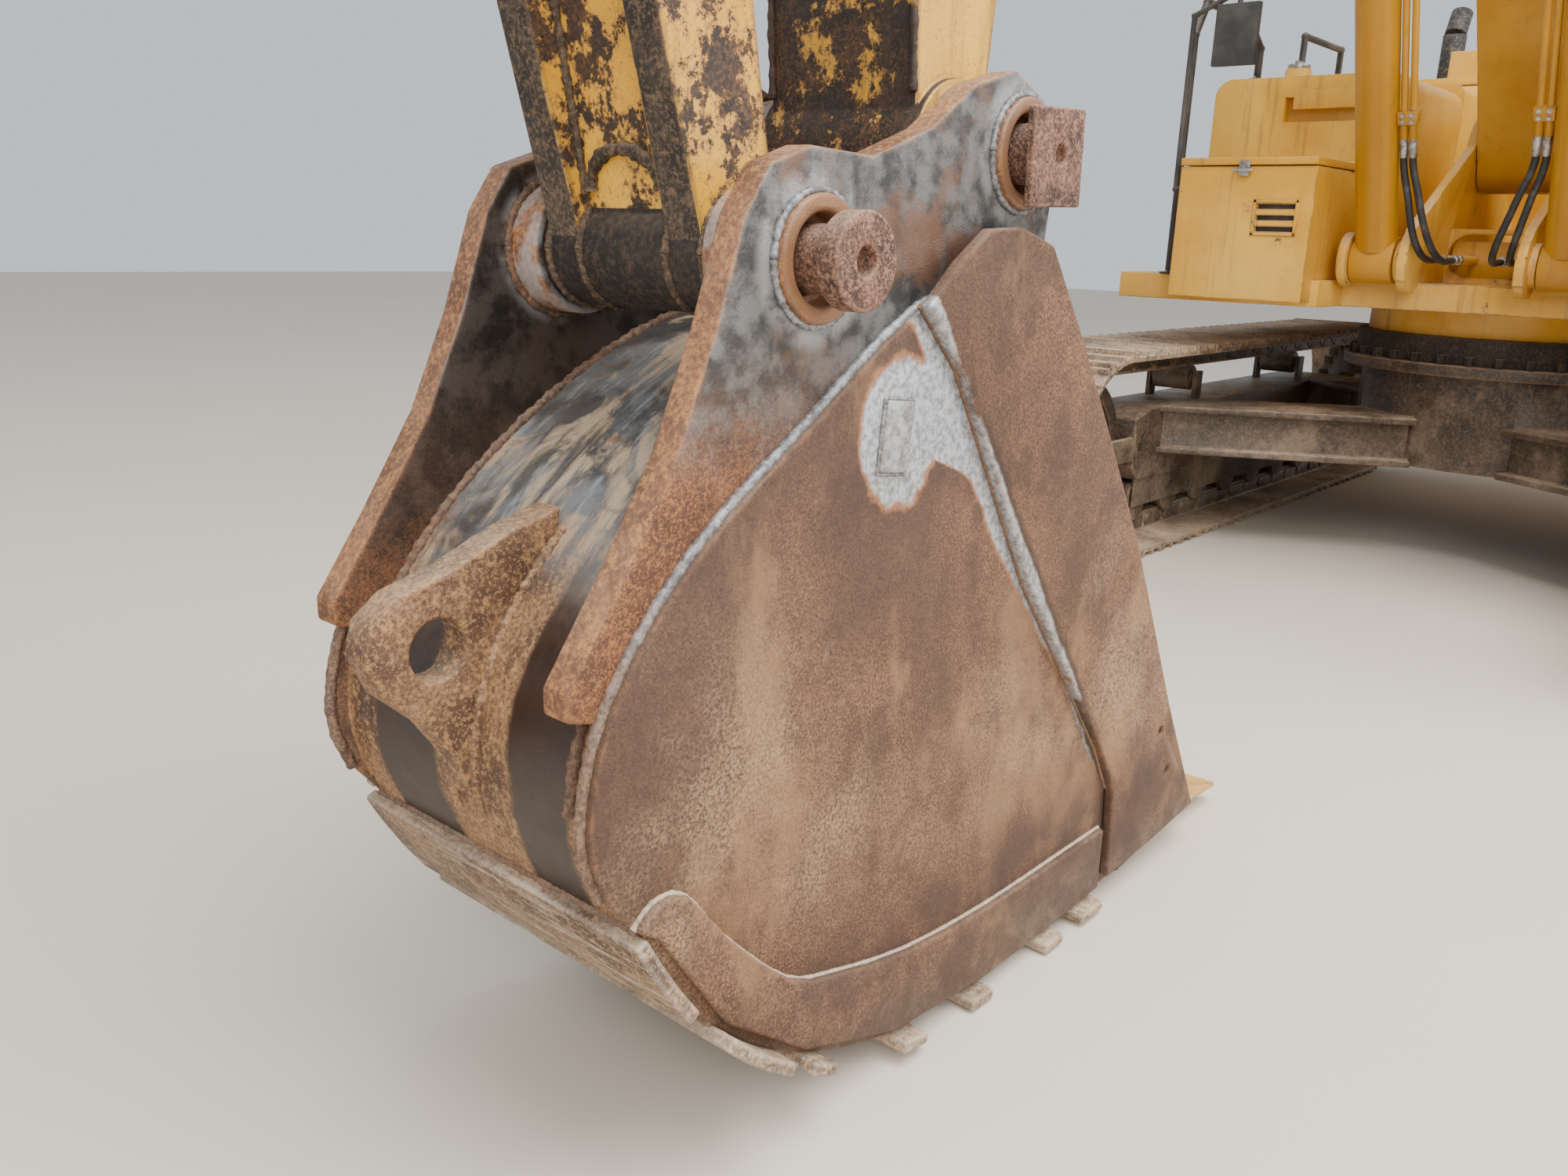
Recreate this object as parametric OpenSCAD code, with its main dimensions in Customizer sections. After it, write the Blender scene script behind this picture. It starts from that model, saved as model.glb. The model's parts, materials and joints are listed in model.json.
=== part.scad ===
// Crawler excavator with a narrow trenching bucket, parked with its bucket on the ground.
// Millimetres. +X is forward, +Y the cab side, +Z up. Side-view points are written [x, z].

/* [Undercarriage] */
// Distance between the idler and sprocket centres
wheel_base = 3530; // [3200:10:3900]
// Distance between the track centre lines
gauge = 2590; // [2300:10:2800]
// Width of a track shoe
shoe_w = 600; // [500:10:750]
// Radius of the track path at the underside of the shoes
track_r = 431; // [400:1:460]
// Thickness of a shoe plate
shoe_t = 12; // [8:1:20]
// Height of a shoe bar
bar_h = 22; // [12:1:30]
// Number of shoes in one track
shoe_count = 48; // [44:1:52]
// Height of the chain under the shoes
chain_h = 95; // [80:1:110]
// Width of the chain
chain_w = 190; // [150:1:230]
// Width of a track frame beam
beam_w = 330; // [280:1:380]

/* [Upper structure] */
// Height of the underside of the upper frame
deck_z = 1130; // [1080:5:1180]
// Thickness of the upper frame plate
deck_t = 110; // [80:5:140]
// Half width of the upper frame
deck_hw = 1400; // [1300:10:1480]
// Tail swing radius
tail_r = 2950; // [2750:10:3100]
// Depth of the counterweight along the machine
weight_len = 640; // [500:10:750]
// Height of the counterweight
weight_h = 950; // [800:10:1050]
// Thickness of the sheet metal walls
sheet = 30; // [20:1:45]
// Height of the engine bay above the deck
bay_h = 1000; // [850:10:1100]
// Height of the tanks above the deck
tank_h = 930; // [750:10:1000]
// Height of the front toolbox
box_h = 540; // [350:10:600]

/* [Cab] */
// Length of the cab
cab_len = 1680; // [1500:10:1850]
// Width of the cab
cab_w = 930; // [850:10:1000]
// Height of the cab
cab_h = 1680; // [1550:10:1800]
// Thickness of the cab walls
cab_wall = 45; // [35:1:60]

/* [Boom] */
// Boom foot pin, forward of the swing centre
foot_x = 150; // [50:5:300]
// Boom foot pin, height
foot_z = 1780; // [1700:5:1850]
// Boom tip pin, forward of the swing centre
tip_x = 5277; // [5150:1:5400]
// Boom tip pin, height
tip_z = 4398; // [4350:1:4450]
// Width of the boom box
boom_w = 380; // [370:5:390]
// Boom cylinder foot pin, forward of the swing centre
lift_x = 970; // [900:5:1050]
// Boom cylinder foot pin, height
lift_z = 1330; // [1300:5:1380]
// Distance of each boom cylinder from the middle
lift_y = 350; // [350:1:360]

/* [Stick and linkage] */
// Bucket pin at the stick, forward of the swing centre
stick_x = 4920; // [4850:5:5000]
// Bucket pin at the stick, height
stick_z = 1490; // [1488:1:1510]
// Width of the stick box
stick_w = 300; // [260:5:305]
// Length of the power link between its pins
link_len = 640; // [600:5:680]
// Length of the idler links between their pins
idler_len = 610; // [580:5:640]
// Thickness of an idler link
idler_t = 35; // [25:1:38]

/* [Bucket] */
// Half width of the bucket over its side panels
bucket_hw = 305; // [290:1:330]
// Thickness of the side panels
side_t = 20; // [15:1:25]
// Thickness of the wrapper
wrap_t = 25; // [18:1:32]
// Thickness of an ear plate
ear_t = 50; // [40:1:60]
// Thickness of the wear plates on the sides
wear_t = 22; // [15:1:30]
// Number of teeth
tooth_count = 4; // [3:1:4]

/* [Pins and cylinders] */
// Radius of the bucket pins
pin_r = 45; // [40:1:50]
// Radial clearance of a turning pin
play = 0.05; // [0.02:0.01:0.1]
// Side gap between moving faces at a pin
gap = 5; // [5:1:8]
// Radius of the boom cylinder barrels
lift_r = 80; // [70:1:90]
// Radius of the stick cylinder barrel
crowd_r = 88; // [75:1:95]
// Radius of the bucket cylinder barrel
curl_r = 75; // [65:1:80]
// Radius of the rods
rod_r = 46; // [40:1:52]

/* [Hidden] */
$fn = 48;

// Swing centre, set so that the whole machine's box is centred on the origin
swing_x = -1491;

// Side-view points of the pins
foot = [foot_x, foot_z];
tip = [tip_x, tip_z];
lift_foot = [lift_x, lift_z];
pin_a = [stick_x, stick_z];
pin_b = pin_a + [485, -160];
pin_d = pin_a + [10, 520];
pin_c = meet(pin_b, link_len, pin_d, idler_len);
lift_eye = [2150, 3760];
crowd_foot = [2500, 4765];
crowd_eye = tip + [458, 631];
curl_foot = tip + [340, -220];
arm = norm(tip - pin_a);

// Where two circles meet, on the right of the way from p to q
function meet(p, rp, q, rq) =
    let (d = norm(q - p), u = (q - p) / d, a = (rp * rp - rq * rq + d * d) / (2 * d),
        h = sqrt(rp * rp - a * a))
    p + a * u + h * [u[1], -u[0]];

// Angle of the way from p to q above the x axis
function slope(p, q) = atan2(q[1] - p[1], q[0] - p[0]);

// Points of a smooth curve through a list of points, with n steps a span
function curve_pt(p, i, t) =
    let (a = p[max(i - 1, 0)], b = p[i], c = p[i + 1], d = p[min(i + 2, len(p) - 1)])
    0.5 * (2 * b + (c - a) * t + (2 * a - 5 * b + 4 * c - d) * t * t
        + (3 * b - a - 3 * c + d) * t * t * t);
function curve(p, n) = [for (i = [0 : len(p) - 2], k = [0 : n - 1]) curve_pt(p, i, k / n),
    p[len(p) - 1]];

// A line of points moved sideways by s, to the left of its direction
function beside(p, s) = [for (i = [0 : len(p) - 1])
    let (d = p[min(i + 1, len(p) - 1)] - p[max(i - 1, 0)], u = d / norm(d))
    p[i] + s * [-u[1], u[0]]];

function back_to_front(p) = [for (i = [len(p) - 1 : -1 : 0]) p[i]];

// Extrudes a side-view outline from y0 to y1
module side(y0, y1) translate([0, y1, 0]) rotate([90, 0, 0]) linear_extrude(y1 - y0) children();

// A round bar across the machine
module cross(p, r, y0, y1) translate([p[0], y1, p[1]]) rotate([90, 0, 0]) cylinder(r = r, h = y1 - y0);

// The same on both sides of the machine
module both() {
    children();
    mirror([0, 1, 0]) children();
}

module at_swing() translate([swing_x, 0, 0]) children();

// Two round ends joined by a straight plate, in side view
module strap(p, rp, q, rq, w) {
    translate(p) circle(r = rp);
    translate(q) circle(r = rq);
    translate(p) rotate(slope(p, q)) translate([0, -w / 2]) square([norm(q - p), w]);
}

// A box by its low and high corners
module block(lo, hi) translate(lo) cube(hi - lo);

// Halves of a leaf hinge: its pin runs along z, above a surface at -leaf_y, fixed leaf on +x
leaf_y = 12;
hinge_r = 8;
module fixed_leaf() {
    cylinder(r = hinge_r, h = 80, center = true);
    for (z = [-40, 20]) {
        translate([0, 0, z]) cylinder(r = leaf_y - 0.5, h = 20);
        block([0, -leaf_y - 1, z], [30, -2, z + 20]);
    }
}
module moving_leaf() difference() {
    union() {
        cylinder(r = leaf_y - 0.5, h = 38, center = true);
        block([-30, 0.3 - leaf_y, -19], [0, -2, 19]);
        block([-30, -leaf_y - 1, -19], [-16, -2, 19]);
    }
    cylinder(r = hinge_r + play, h = 90, center = true);
}

// Undercarriage
wheel_z = track_r + shoe_t + bar_h;
half_base = wheel_base / 2;
track_y = gauge / 2;
pitch = (2 * wheel_base + 2 * PI * track_r) / shoe_count;
chain_in = track_r - chain_h;
roller_r = 80;
carrier_r = 60;

// Place on the track path at a length s from the lower rear corner: [x, z, angle]
function path_at(s) =
    let (arc_len = PI * track_r)
    s < wheel_base ? [s - half_base, -track_r, 0]
    : s < wheel_base + arc_len ?
        let (a = (s - wheel_base) / track_r * 180 / PI)
        [half_base + track_r * sin(a), -track_r * cos(a), a]
    : s < 2 * wheel_base + arc_len ? [half_base - (s - wheel_base - arc_len), track_r, 180]
    : let (a = (s - 2 * wheel_base - arc_len) / track_r * 180 / PI)
        [-half_base - track_r * sin(a), track_r * cos(a), 180 + a];

// Outline of one shoe: along the path and outwards
shoe_h = pitch / 2 - 4;
shoe_pts = [[-shoe_h, 0], [4 - shoe_h, shoe_t + bar_h], [16 - shoe_h, shoe_t + bar_h],
    [26 - shoe_h, shoe_t], [-12, shoe_t], [-6, shoe_t + bar_h], [6, shoe_t + bar_h], [12, shoe_t],
    [shoe_h - 26, shoe_t], [shoe_h - 16, shoe_t + bar_h], [shoe_h - 4, shoe_t + bar_h], [shoe_h, 0]];

function shoe_outline() = [for (i = [0 : shoe_count - 1])
    let (q = path_at((i + 0.5) * pitch), c = cos(q[2]), s = sin(q[2]))
    for (p = shoe_pts) [q[0] + p[0] * c + p[1] * s, q[1] + p[0] * s - p[1] * c]];

module loop_area(r) {
    for (x = [-half_base, half_base]) translate([x, 0]) circle(r = r);
    translate([-half_base, -r]) square([wheel_base, 2 * r]);
}

module track(y) at_swing() translate([0, y, wheel_z]) {
    side(-shoe_w / 2, shoe_w / 2) difference() {
        polygon(shoe_outline());
        loop_area(track_r - 8);
    }
    side(-chain_w / 2, chain_w / 2) difference() {
        loop_area(track_r - 4);
        loop_area(chain_in);
    }
}

module track_left() color([0.55, 0.48, 0.38]) track(track_y);
module track_right() color([0.55, 0.48, 0.38]) track(-track_y);

beam_lo = 320;
beam_hi = 640;
beam_x = half_base - 410;

module track_frames() color([0.16, 0.14, 0.12]) at_swing() both() {
    side(track_y - beam_w / 2, track_y + beam_w / 2)
        polygon([[-beam_x - 60, 380], [-beam_x, beam_lo], [beam_x, beam_lo], [beam_x + 60, 380],
            [beam_x + 60, 600], [beam_x - 80, beam_hi], [-beam_x + 80, beam_hi], [-beam_x - 60, 600]]);
    for (x = [-1, 1], y = [-1, 1])
        block([x > 0 ? beam_x + 40 : -half_base - 60, track_y + y * 140 - 15, wheel_z - 55],
            [x > 0 ? half_base + 60 : -beam_x - 40, track_y + y * 140 + 15, wheel_z + 55]);
    for (y = [-150, 135]) block([-beam_x + 20, track_y + y, roller_z - 25],
        [beam_x - 20, track_y + y + 15, beam_lo + 10]);
}

leg_in = [420, 380];
leg_out = [980, track_y - beam_w / 2];
carbody_z = [430, 760];

module leg_area(w) polygon([[leg_in[0] - w, leg_in[1]], [leg_in[0] + w, leg_in[1] - w],
    [leg_out[0] + w, leg_out[1]], [leg_out[0] - w, leg_out[1]]]);

module carbody() color([0.18, 0.13, 0.1]) at_swing() {
    translate([0, 0, carbody_z[0]]) cylinder(r = 600, h = carbody_z[1] - carbody_z[0] + 90);
    translate([0, 0, carbody_z[1] + 90]) cylinder(r = 690, h = 50);
    for (mx = [0, 1], my = [0, 1]) mirror([mx, 0, 0]) mirror([0, my, 0]) {
        translate([0, 0, carbody_z[0]]) linear_extrude(30) leg_area(210);
        translate([0, 0, carbody_z[0] + 10]) linear_extrude(carbody_z[1] - carbody_z[0] - 130)
            leg_area(170);
        translate([0, 0, carbody_z[1] - 140]) linear_extrude(30) leg_area(210);
    }
}

roller_xs = [for (i = [0 : 7]) -1260 + i * 360];
roller_z = wheel_z - chain_in + roller_r + 0.5;
carrier_z = wheel_z + chain_in - carrier_r - 0.5;

module rollers() color([0.15, 0.13, 0.12]) at_swing() both() {
    for (x = roller_xs) {
        cross([x, roller_z], roller_r, track_y - 130, track_y + 130);
        for (y = [track_y - 130, track_y + 102]) cross([x, roller_z], roller_r + 16, y, y + 28);
        cross([x, roller_z], 30, track_y - 134.7, track_y + 134.7);
    }
    for (x = [-700, 700]) {
        cross([x, carrier_z], carrier_r, track_y - 90, track_y + 90);
        cross([x, carrier_z], 30, track_y - 110, track_y + 110);
        block([x - 35, track_y - 130, beam_hi], [x + 35, track_y - 110, carrier_z + 35]);
        block([x - 35, track_y + 110, beam_hi], [x + 35, track_y + 130, carrier_z + 35]);
    }
}

module idlers() color([0.2, 0.17, 0.14]) at_swing() both() difference() {
    union() {
        cross([half_base, wheel_z], chain_in - 0.5, track_y - 90, track_y + 90);
        cross([half_base, wheel_z], 70, track_y - 124.7, track_y + 124.7);
    }
    for (y = [track_y - 91, track_y + 50])
        difference() {
            cross([half_base, wheel_z], chain_in - 70, y, y + 41);
            cross([half_base, wheel_z], 110, y, y + 41);
        }
}

tooth_n = 21;
module sprockets() color([0.2, 0.17, 0.14]) at_swing() both() {
    difference() {
        union() {
            cross([-half_base, wheel_z], chain_in - 45, track_y - 30, track_y + 30);
            for (i = [0 : tooth_n - 1])
                side(track_y - 30, track_y + 30) translate([-half_base, wheel_z])
                    rotate(i * 360 / tooth_n)
                        polygon([[chain_in - 60, -26], [chain_in - 2, -9], [chain_in - 2, 9],
                            [chain_in - 60, 26]]);
        }
        cross([-half_base, wheel_z], 150, track_y - 31, track_y + 31);
    }
    cross([-half_base, wheel_z], 150, track_y - 124.7, track_y + 40);
    cross([-half_base, wheel_z], 205, track_y + 30, track_y + 95);
    cross([-half_base, wheel_z], 150, track_y + 95, track_y + 124.7);
}

bearing_r = 640;
race_gap = 0.3;
ring_lo = carbody_z[1] + 140;
ring_mid = (ring_lo + deck_z) / 2;

module bearing_ring() color([0.12, 0.11, 0.1]) at_swing() difference() {
    union() {
        translate([0, 0, ring_lo]) cylinder(r = bearing_r, h = ring_mid - ring_lo);
        for (i = [0 : 35]) rotate(i * 10) translate([bearing_r - 2, -14, ring_lo]) cube([34, 28, 40]);
    }
    translate([0, 0, ring_lo - 1]) cylinder(r = bearing_r - 130, h = ring_mid - ring_lo + 2);
}

// Upper frame with the boom brackets
deck_top = deck_z + deck_t;
tail_x = -tail_r;
weight_x = tail_x + weight_len;
bracket_in = boom_w / 2 + gap;
bracket_t = 40;
lift_half = 50;
foot_over = 4;
lift_foot_half = lift_r + foot_over;
outer_lug = lift_y + lift_foot_half + gap;

module tail_area() intersection() {
    circle(r = tail_r, $fn = 96);
    translate([tail_x, -deck_hw]) square([tail_r, 2 * deck_hw]);
}

module upper_frame() color([0.75, 0.5, 0.08]) at_swing() {
    difference() {
        union() {
            translate([0, 0, deck_z]) linear_extrude(deck_t)
                polygon([[weight_x, -deck_hw], [1180, -deck_hw], [1180, -500], [870, -500],
                    [870, 500], [1180, 500], [1180, deck_hw], [weight_x, deck_hw]]);
            translate([0, 0, ring_mid + race_gap]) cylinder(r = bearing_r - 40,
                h = deck_z - ring_mid);
        }
        translate([0, 0, ring_mid]) cylinder(r = 380, h = 400);
    }
    both() {
        side(bracket_in, bracket_in + bracket_t) {
            polygon([[-900, deck_top], [-700, deck_top + 200], foot + [-190, 60],
                foot + [60, 190], foot + [190, 40], lift_foot + [60, 130],
                lift_foot + [130, 20], lift_foot + [110, -80], [870, deck_top]]);
            translate(foot) circle(r = 190);
            translate(lift_foot) circle(r = 130);
        }
        cross(lift_foot, 85, bracket_in + bracket_t - 1, lift_y - lift_foot_half - gap);
        side(outer_lug, outer_lug + bracket_t) {
            translate(lift_foot) circle(r = 110);
            polygon([[660, deck_top], [870, deck_top], lift_foot + [104, -36],
                lift_foot + [-36, 104]]);
        }
        cross(lift_foot, 50, bracket_in + 10, outer_lug + bracket_t + 12);
    }
    difference() {
        block([500, -bracket_in - 1, deck_top - 1], [525, bracket_in + 1, 1470]);
        for (y = [-100, 100]) translate([499, y, 1357]) rotate([0, 90, 0]) cylinder(r = 90, h = 27);
        block([499, -100, 1267], [526, 100, 1447]);
    }
    cross(foot, 55, -bracket_in - bracket_t - 15, bracket_in + bracket_t + 15);
}

module counterweight() color([0.78, 0.52, 0.08]) at_swing() {
    difference() {
        translate([0, 0, deck_z]) linear_extrude(weight_h) difference() {
            tail_area();
            translate([weight_x, -deck_hw - 1]) square([tail_r, 2 * deck_hw + 2]);
        }
        translate([tail_x - 10, -deck_hw - 1, deck_z - 10]) rotate([0, 45, 0])
            cube([130, 2 * deck_hw + 2, 130]);
        for (y = [-700, 700]) translate([weight_x - 240, y, deck_z + weight_h - 100])
            cylinder(r = 60, h = 101);
    }
}

engine_lo = [-2180, -620, deck_top];
engine_hi = [-1330, 640, deck_top + 800];
bay_x = [weight_x, -1160];
bay_top = deck_top + bay_h;

module engine_block() color([0.2, 0.2, 0.2]) at_swing() block(engine_lo, engine_hi);

door_z = [deck_top + 60, bay_top - 60];
door_x = [bay_x[0] + 60, bay_x[1] - 60];
door_gap = 6;

module bay_walls() color([0.75, 0.5, 0.08]) at_swing() {
    difference() {
        block([bay_x[0], -deck_hw, deck_top], [bay_x[1], deck_hw, bay_top]);
        block([bay_x[0] + sheet, -deck_hw + sheet, deck_top - 1],
            [bay_x[1] - sheet, deck_hw - sheet, bay_top + 1]);
        block([door_x[0], -deck_hw - 1, door_z[0]], [door_x[1], deck_hw + 1, door_z[1]]);
    }
    for (i = [0 : 5]) block([bay_x[1] - 1, 150, deck_top + 250 + i * 80],
        [bay_x[1] + 12, 600, deck_top + 290 + i * 80]);
    both() bay_door_hinges() fixed_leaf();
    hood_hinges() fixed_leaf();
}

module bay_door_hinges() for (z = [door_z[0] + 120, door_z[1] - 120])
    translate([door_x[1] + 6, deck_hw + leaf_y, z]) children();

module hood_hinges() for (y = [-1000, 1000])
    translate([bay_x[1] + leaf_y, y, bay_top + gap / 2]) rotate([90, 90, 0]) children();

module bay_door(s) difference() {
    block([door_x[0] + door_gap, s > 0 ? deck_hw - sheet : -deck_hw, door_z[0] + door_gap],
        [door_x[1] - door_gap, s > 0 ? deck_hw : -deck_hw + sheet, door_z[1] - door_gap]);
    for (i = [0 : 6], x = [0, 1])
        block([door_x[0] + 110 + x * 450, s * deck_hw - 50, door_z[0] + 180 + i * 75],
            [door_x[0] + 450 + x * 450, s * deck_hw + 50, door_z[0] + 210 + i * 75]);
}

module door_left() color([0.8, 0.55, 0.1]) at_swing() {
    bay_door(1);
    bay_door_hinges() moving_leaf();
}
module door_right() color([0.8, 0.55, 0.1]) at_swing() {
    bay_door(-1);
    mirror([0, 1, 0]) bay_door_hinges() moving_leaf();
}

module engine_hood() color([0.8, 0.55, 0.1]) at_swing() difference() {
    union() {
        hood_hinges() moving_leaf();
        block([bay_x[0] - 10, -deck_hw, bay_top + gap], [bay_x[1], deck_hw, bay_top + gap + 40]);
        block([bay_x[0] + 60, -800, bay_top + gap + 40], [bay_x[1] - 120, 760, bay_top + gap + 190]);
    }
    block([bay_x[0] + 60 + sheet, -800 + sheet, bay_top + gap - 1],
        [bay_x[1] - 120 - sheet, 760 - sheet, bay_top + gap + 190 - sheet]);
    for (i = [0 : 7]) block([bay_x[0] + 170 + i * 90, -500, bay_top + gap + 100],
        [bay_x[0] + 210 + i * 90, 500, bay_top + gap + 200]);
}

tank_y = [-deck_hw, -470];
hyd_x = [bay_x[1] + 30, -420];
fuel_x = [-410, 500];
box_x = [510, 1290];
box_y = [-1110, -530];

// A box with rounded upper edges along the machine
module rounded_tank(x0, x1, y0, y1, z0, z1, r) translate([x0, 0, 0]) rotate([90, 0, 90])
    linear_extrude(x1 - x0) {
        translate([y0, z0]) square([y1 - y0, z1 - z0 - r]);
        translate([y0 + r, z0]) square([y1 - y0 - 2 * r, z1 - z0]);
        for (y = [y0 + r, y1 - r]) translate([y, z1 - r]) circle(r = r);
    }

module tanks() color([0.8, 0.55, 0.1]) at_swing() {
    rounded_tank(hyd_x[0], hyd_x[1], tank_y[0], tank_y[1], deck_top, deck_top + tank_h, 60);
    translate([(hyd_x[0] + hyd_x[1]) / 2, -900, deck_top + tank_h]) cylinder(r = 70, h = 45);
    difference() {
        rounded_tank(fuel_x[0], fuel_x[1], tank_y[0] + 60, tank_y[1], deck_top,
            deck_top + tank_h - 40, 80);
        block([fuel_x[1] - 60, -1000, deck_top + tank_h - 240],
            [fuel_x[1] + 1, -600, deck_top + tank_h - 130]);
    }
    translate([fuel_x[1] - 250, -1050, deck_top + tank_h - 40]) cylinder(r = 60, h = 60);
    lid_hinges() {
        cylinder(r = hinge_r, h = 80, center = true);
        for (z = [-40, 20]) {
            translate([0, 0, z]) cylinder(r = 14, h = 20);
            block([-8, -fuel_gap - 1, z], [8, 0, z + 20]);
        }
    }
}

// Lid hinges, with y of the children pointing away from the tank
fuel_gap = 16;
module lid_hinges() for (y = [box_y[0] + 100, box_y[1] - 100])
    translate([fuel_x[1] + fuel_gap, y, lid_z + 44]) rotate([90, 90, 0]) children();

module toolbox() color([0.8, 0.55, 0.1]) at_swing() {
    difference() {
        block([box_x[0], box_y[0], deck_top - 90], [box_x[1], box_y[1], deck_top - 90 + box_h]);
        block([box_x[0] + sheet, box_y[0] + sheet, deck_top - 90 + sheet],
            [box_x[1] - sheet, box_y[1] - sheet, deck_top - 90 + box_h + 1]);
        block([box_x[0] - 1, box_y[0] - 1, deck_top - 91], [1180, box_y[1] + 1, deck_top]);
        for (i = [0 : 2]) block([box_x[1] - 50, -760, deck_top + 190 + i * 45],
            [box_x[1] + 1, -600, deck_top + 210 + i * 45]);
    }
}

lid_z = deck_top - 90 + box_h + gap;
module toolbox_lid() color([0.8, 0.55, 0.1]) at_swing() {
    block([box_x[0], box_y[0], lid_z], [box_x[1] + 10, box_y[1], lid_z + 30]);
    lid_hinges() difference() {
        union() {
            cylinder(r = 14, h = 38, center = true);
            block([7, 0, -19], [15, 36, 19]);
        }
        cylinder(r = hinge_r + play, h = 90, center = true);
    }
}

// Cab: hollow, with windows cut, on the left of the boom
cab_x0 = -350;
cab_x1 = cab_x0 + cab_len;
cab_y0 = 500;
cab_y1 = cab_y0 + cab_w;
cab_z0 = deck_top;
cab_z1 = deck_top + cab_h;
door_open = [cab_x0 + 560, cab_x0 + 1560];
sill = cab_z0 + 120;
head = cab_z1 - 130;

module cab_side() polygon([[cab_x0, cab_z0], [cab_x1, cab_z0], [cab_x1 + 60, cab_z0 + 700],
    [cab_x1 - 40, cab_z1 - 150], [cab_x1 - 150, cab_z1], [cab_x0 + 60, cab_z1],
    [cab_x0, cab_z1 - 60]]);
module cab_inner() polygon([[cab_x0 + cab_wall, cab_z0 + cab_wall],
    [cab_x1 - cab_wall, cab_z0 + cab_wall], [cab_x1 + 60 - cab_wall, cab_z0 + 700],
    [cab_x1 - 40 - cab_wall, cab_z1 - 160], [cab_x1 - 160, cab_z1 - cab_wall],
    [cab_x0 + 70, cab_z1 - cab_wall], [cab_x0 + cab_wall, cab_z1 - 80]]);

module door_area(g) polygon([[door_open[0] + g, cab_z0 + 60 + g], [door_open[1] - g, cab_z0 + 60 + g],
    [door_open[1] + 40 - g, cab_z0 + 700], [door_open[1] - 60 - g, cab_z1 - 90 - g],
    [door_open[0] + g, cab_z1 - 90 - g]]);

module cab() color([0.78, 0.53, 0.1]) at_swing() {
    cab_shell();
    cab_door_hinges() fixed_leaf();
}

module cab_shell() difference() {
    side(cab_y0, cab_y1) cab_side();
    side(cab_y0 + cab_wall, cab_y1 - cab_wall) cab_inner();
    side(cab_y1 - cab_wall - 1, cab_y1 + 1) door_area(0);
    side(cab_y1 - cab_wall - 1, cab_y1 + 1)
        translate([cab_x0 + 90, cab_z0 + 700]) square([400, 760]);
    side(cab_y0 - 1, cab_y0 + cab_wall + 1)
        polygon([[cab_x0 + 120, cab_z0 + 650], [cab_x1 - 60, cab_z0 + 650], [cab_x1 - 40, cab_z0 + 800],
            [cab_x1 - 160, head], [cab_x0 + 120, head]]);
    block([cab_x1 - 200, cab_y0 + 90, sill + 60], [cab_x1 + 100, cab_y1 - 90, head - 40]);
    block([cab_x0 - 1, cab_y0 + 120, cab_z0 + 800], [cab_x0 + cab_wall + 40, cab_y1 - 120, head]);
    block([cab_x0 + 850, cab_y0 + 200, cab_z1 - 100], [cab_x0 + 1350, cab_y1 - 200, cab_z1 + 1]);
}

module cab_door_hinges() for (z = [cab_z0 + 300, cab_z0 + 1300])
    translate([door_open[0] - 6, cab_y1 + leaf_y, z]) mirror([1, 0, 0]) children();

module cab_door() color([0.78, 0.53, 0.1]) at_swing() {
    side(cab_y1 - cab_wall, cab_y1) difference() {
        door_area(door_gap);
        translate([door_open[0] + 90, cab_z0 + 780]) square([820, 670]);
        translate([door_open[0] + 90, cab_z0 + 230]) square([820, 400]);
    }
    block([door_open[1] - 90, cab_y1, cab_z0 + 700], [door_open[1] - 60, cab_y1 + 40, cab_z0 + 850]);
    cab_door_hinges() moving_leaf();
}

pane = 8;
module cab_glass() color([0.35, 0.4, 0.42, 0.5]) at_swing() {
    side(cab_y0 + 14, cab_y0 + 14 + pane)
        polygon([[cab_x0 + 120.3, cab_z0 + 650.3], [cab_x1 - 60.3, cab_z0 + 650.3],
            [cab_x1 - 40.5, cab_z0 + 799.7], [cab_x1 - 160.5, head - 0.3],
            [cab_x0 + 120.3, head - 0.3]]);
    side(cab_y1 - 14 - pane, cab_y1 - 14)
        translate([cab_x0 + 90.3, cab_z0 + 700.3]) square([399.4, 759.4]);
    block([cab_x0 + 12, cab_y0 + 120.3, cab_z0 + 800.3],
        [cab_x0 + 12 + pane, cab_y1 - 120.3, head - 0.3]);
}

module cab_seat() color([0.12, 0.12, 0.13]) at_swing() {
    cab_floor = cab_z0 + cab_wall;
    mid = (cab_y0 + cab_y1) / 2;
    block([cab_x0 + 330, mid - 200, cab_floor], [cab_x0 + 780, mid + 200, cab_floor + 320]);
    block([cab_x0 + 300, mid - 250, cab_floor + 320], [cab_x0 + 820, mid + 250, cab_floor + 450]);
    block([cab_x0 + 230, mid - 240, cab_floor + 450], [cab_x0 + 350, mid + 240, cab_floor + 1120]);
    for (y = [-360, 270]) block([cab_x0 + 330, mid + y, cab_floor], [cab_x0 + 850, mid + y + 90,
        cab_floor + 620]);
}

// A round rail through a list of points, with a knuckle at each bend
module rail(pts, r) {
    for (i = [0 : len(pts) - 2]) rod(pts[i], pts[i + 1], r);
    for (i = [1 : len(pts) - 2]) translate(pts[i]) sphere(r = r + 3, $fn = 24);
}

module rod(p, q, r) {
    v = q - p;
    translate(p) rotate([0, acos(v[2] / norm(v)), atan2(v[1], v[0])])
        cylinder(r = r, h = norm(v), $fn = 24);
}

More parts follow.
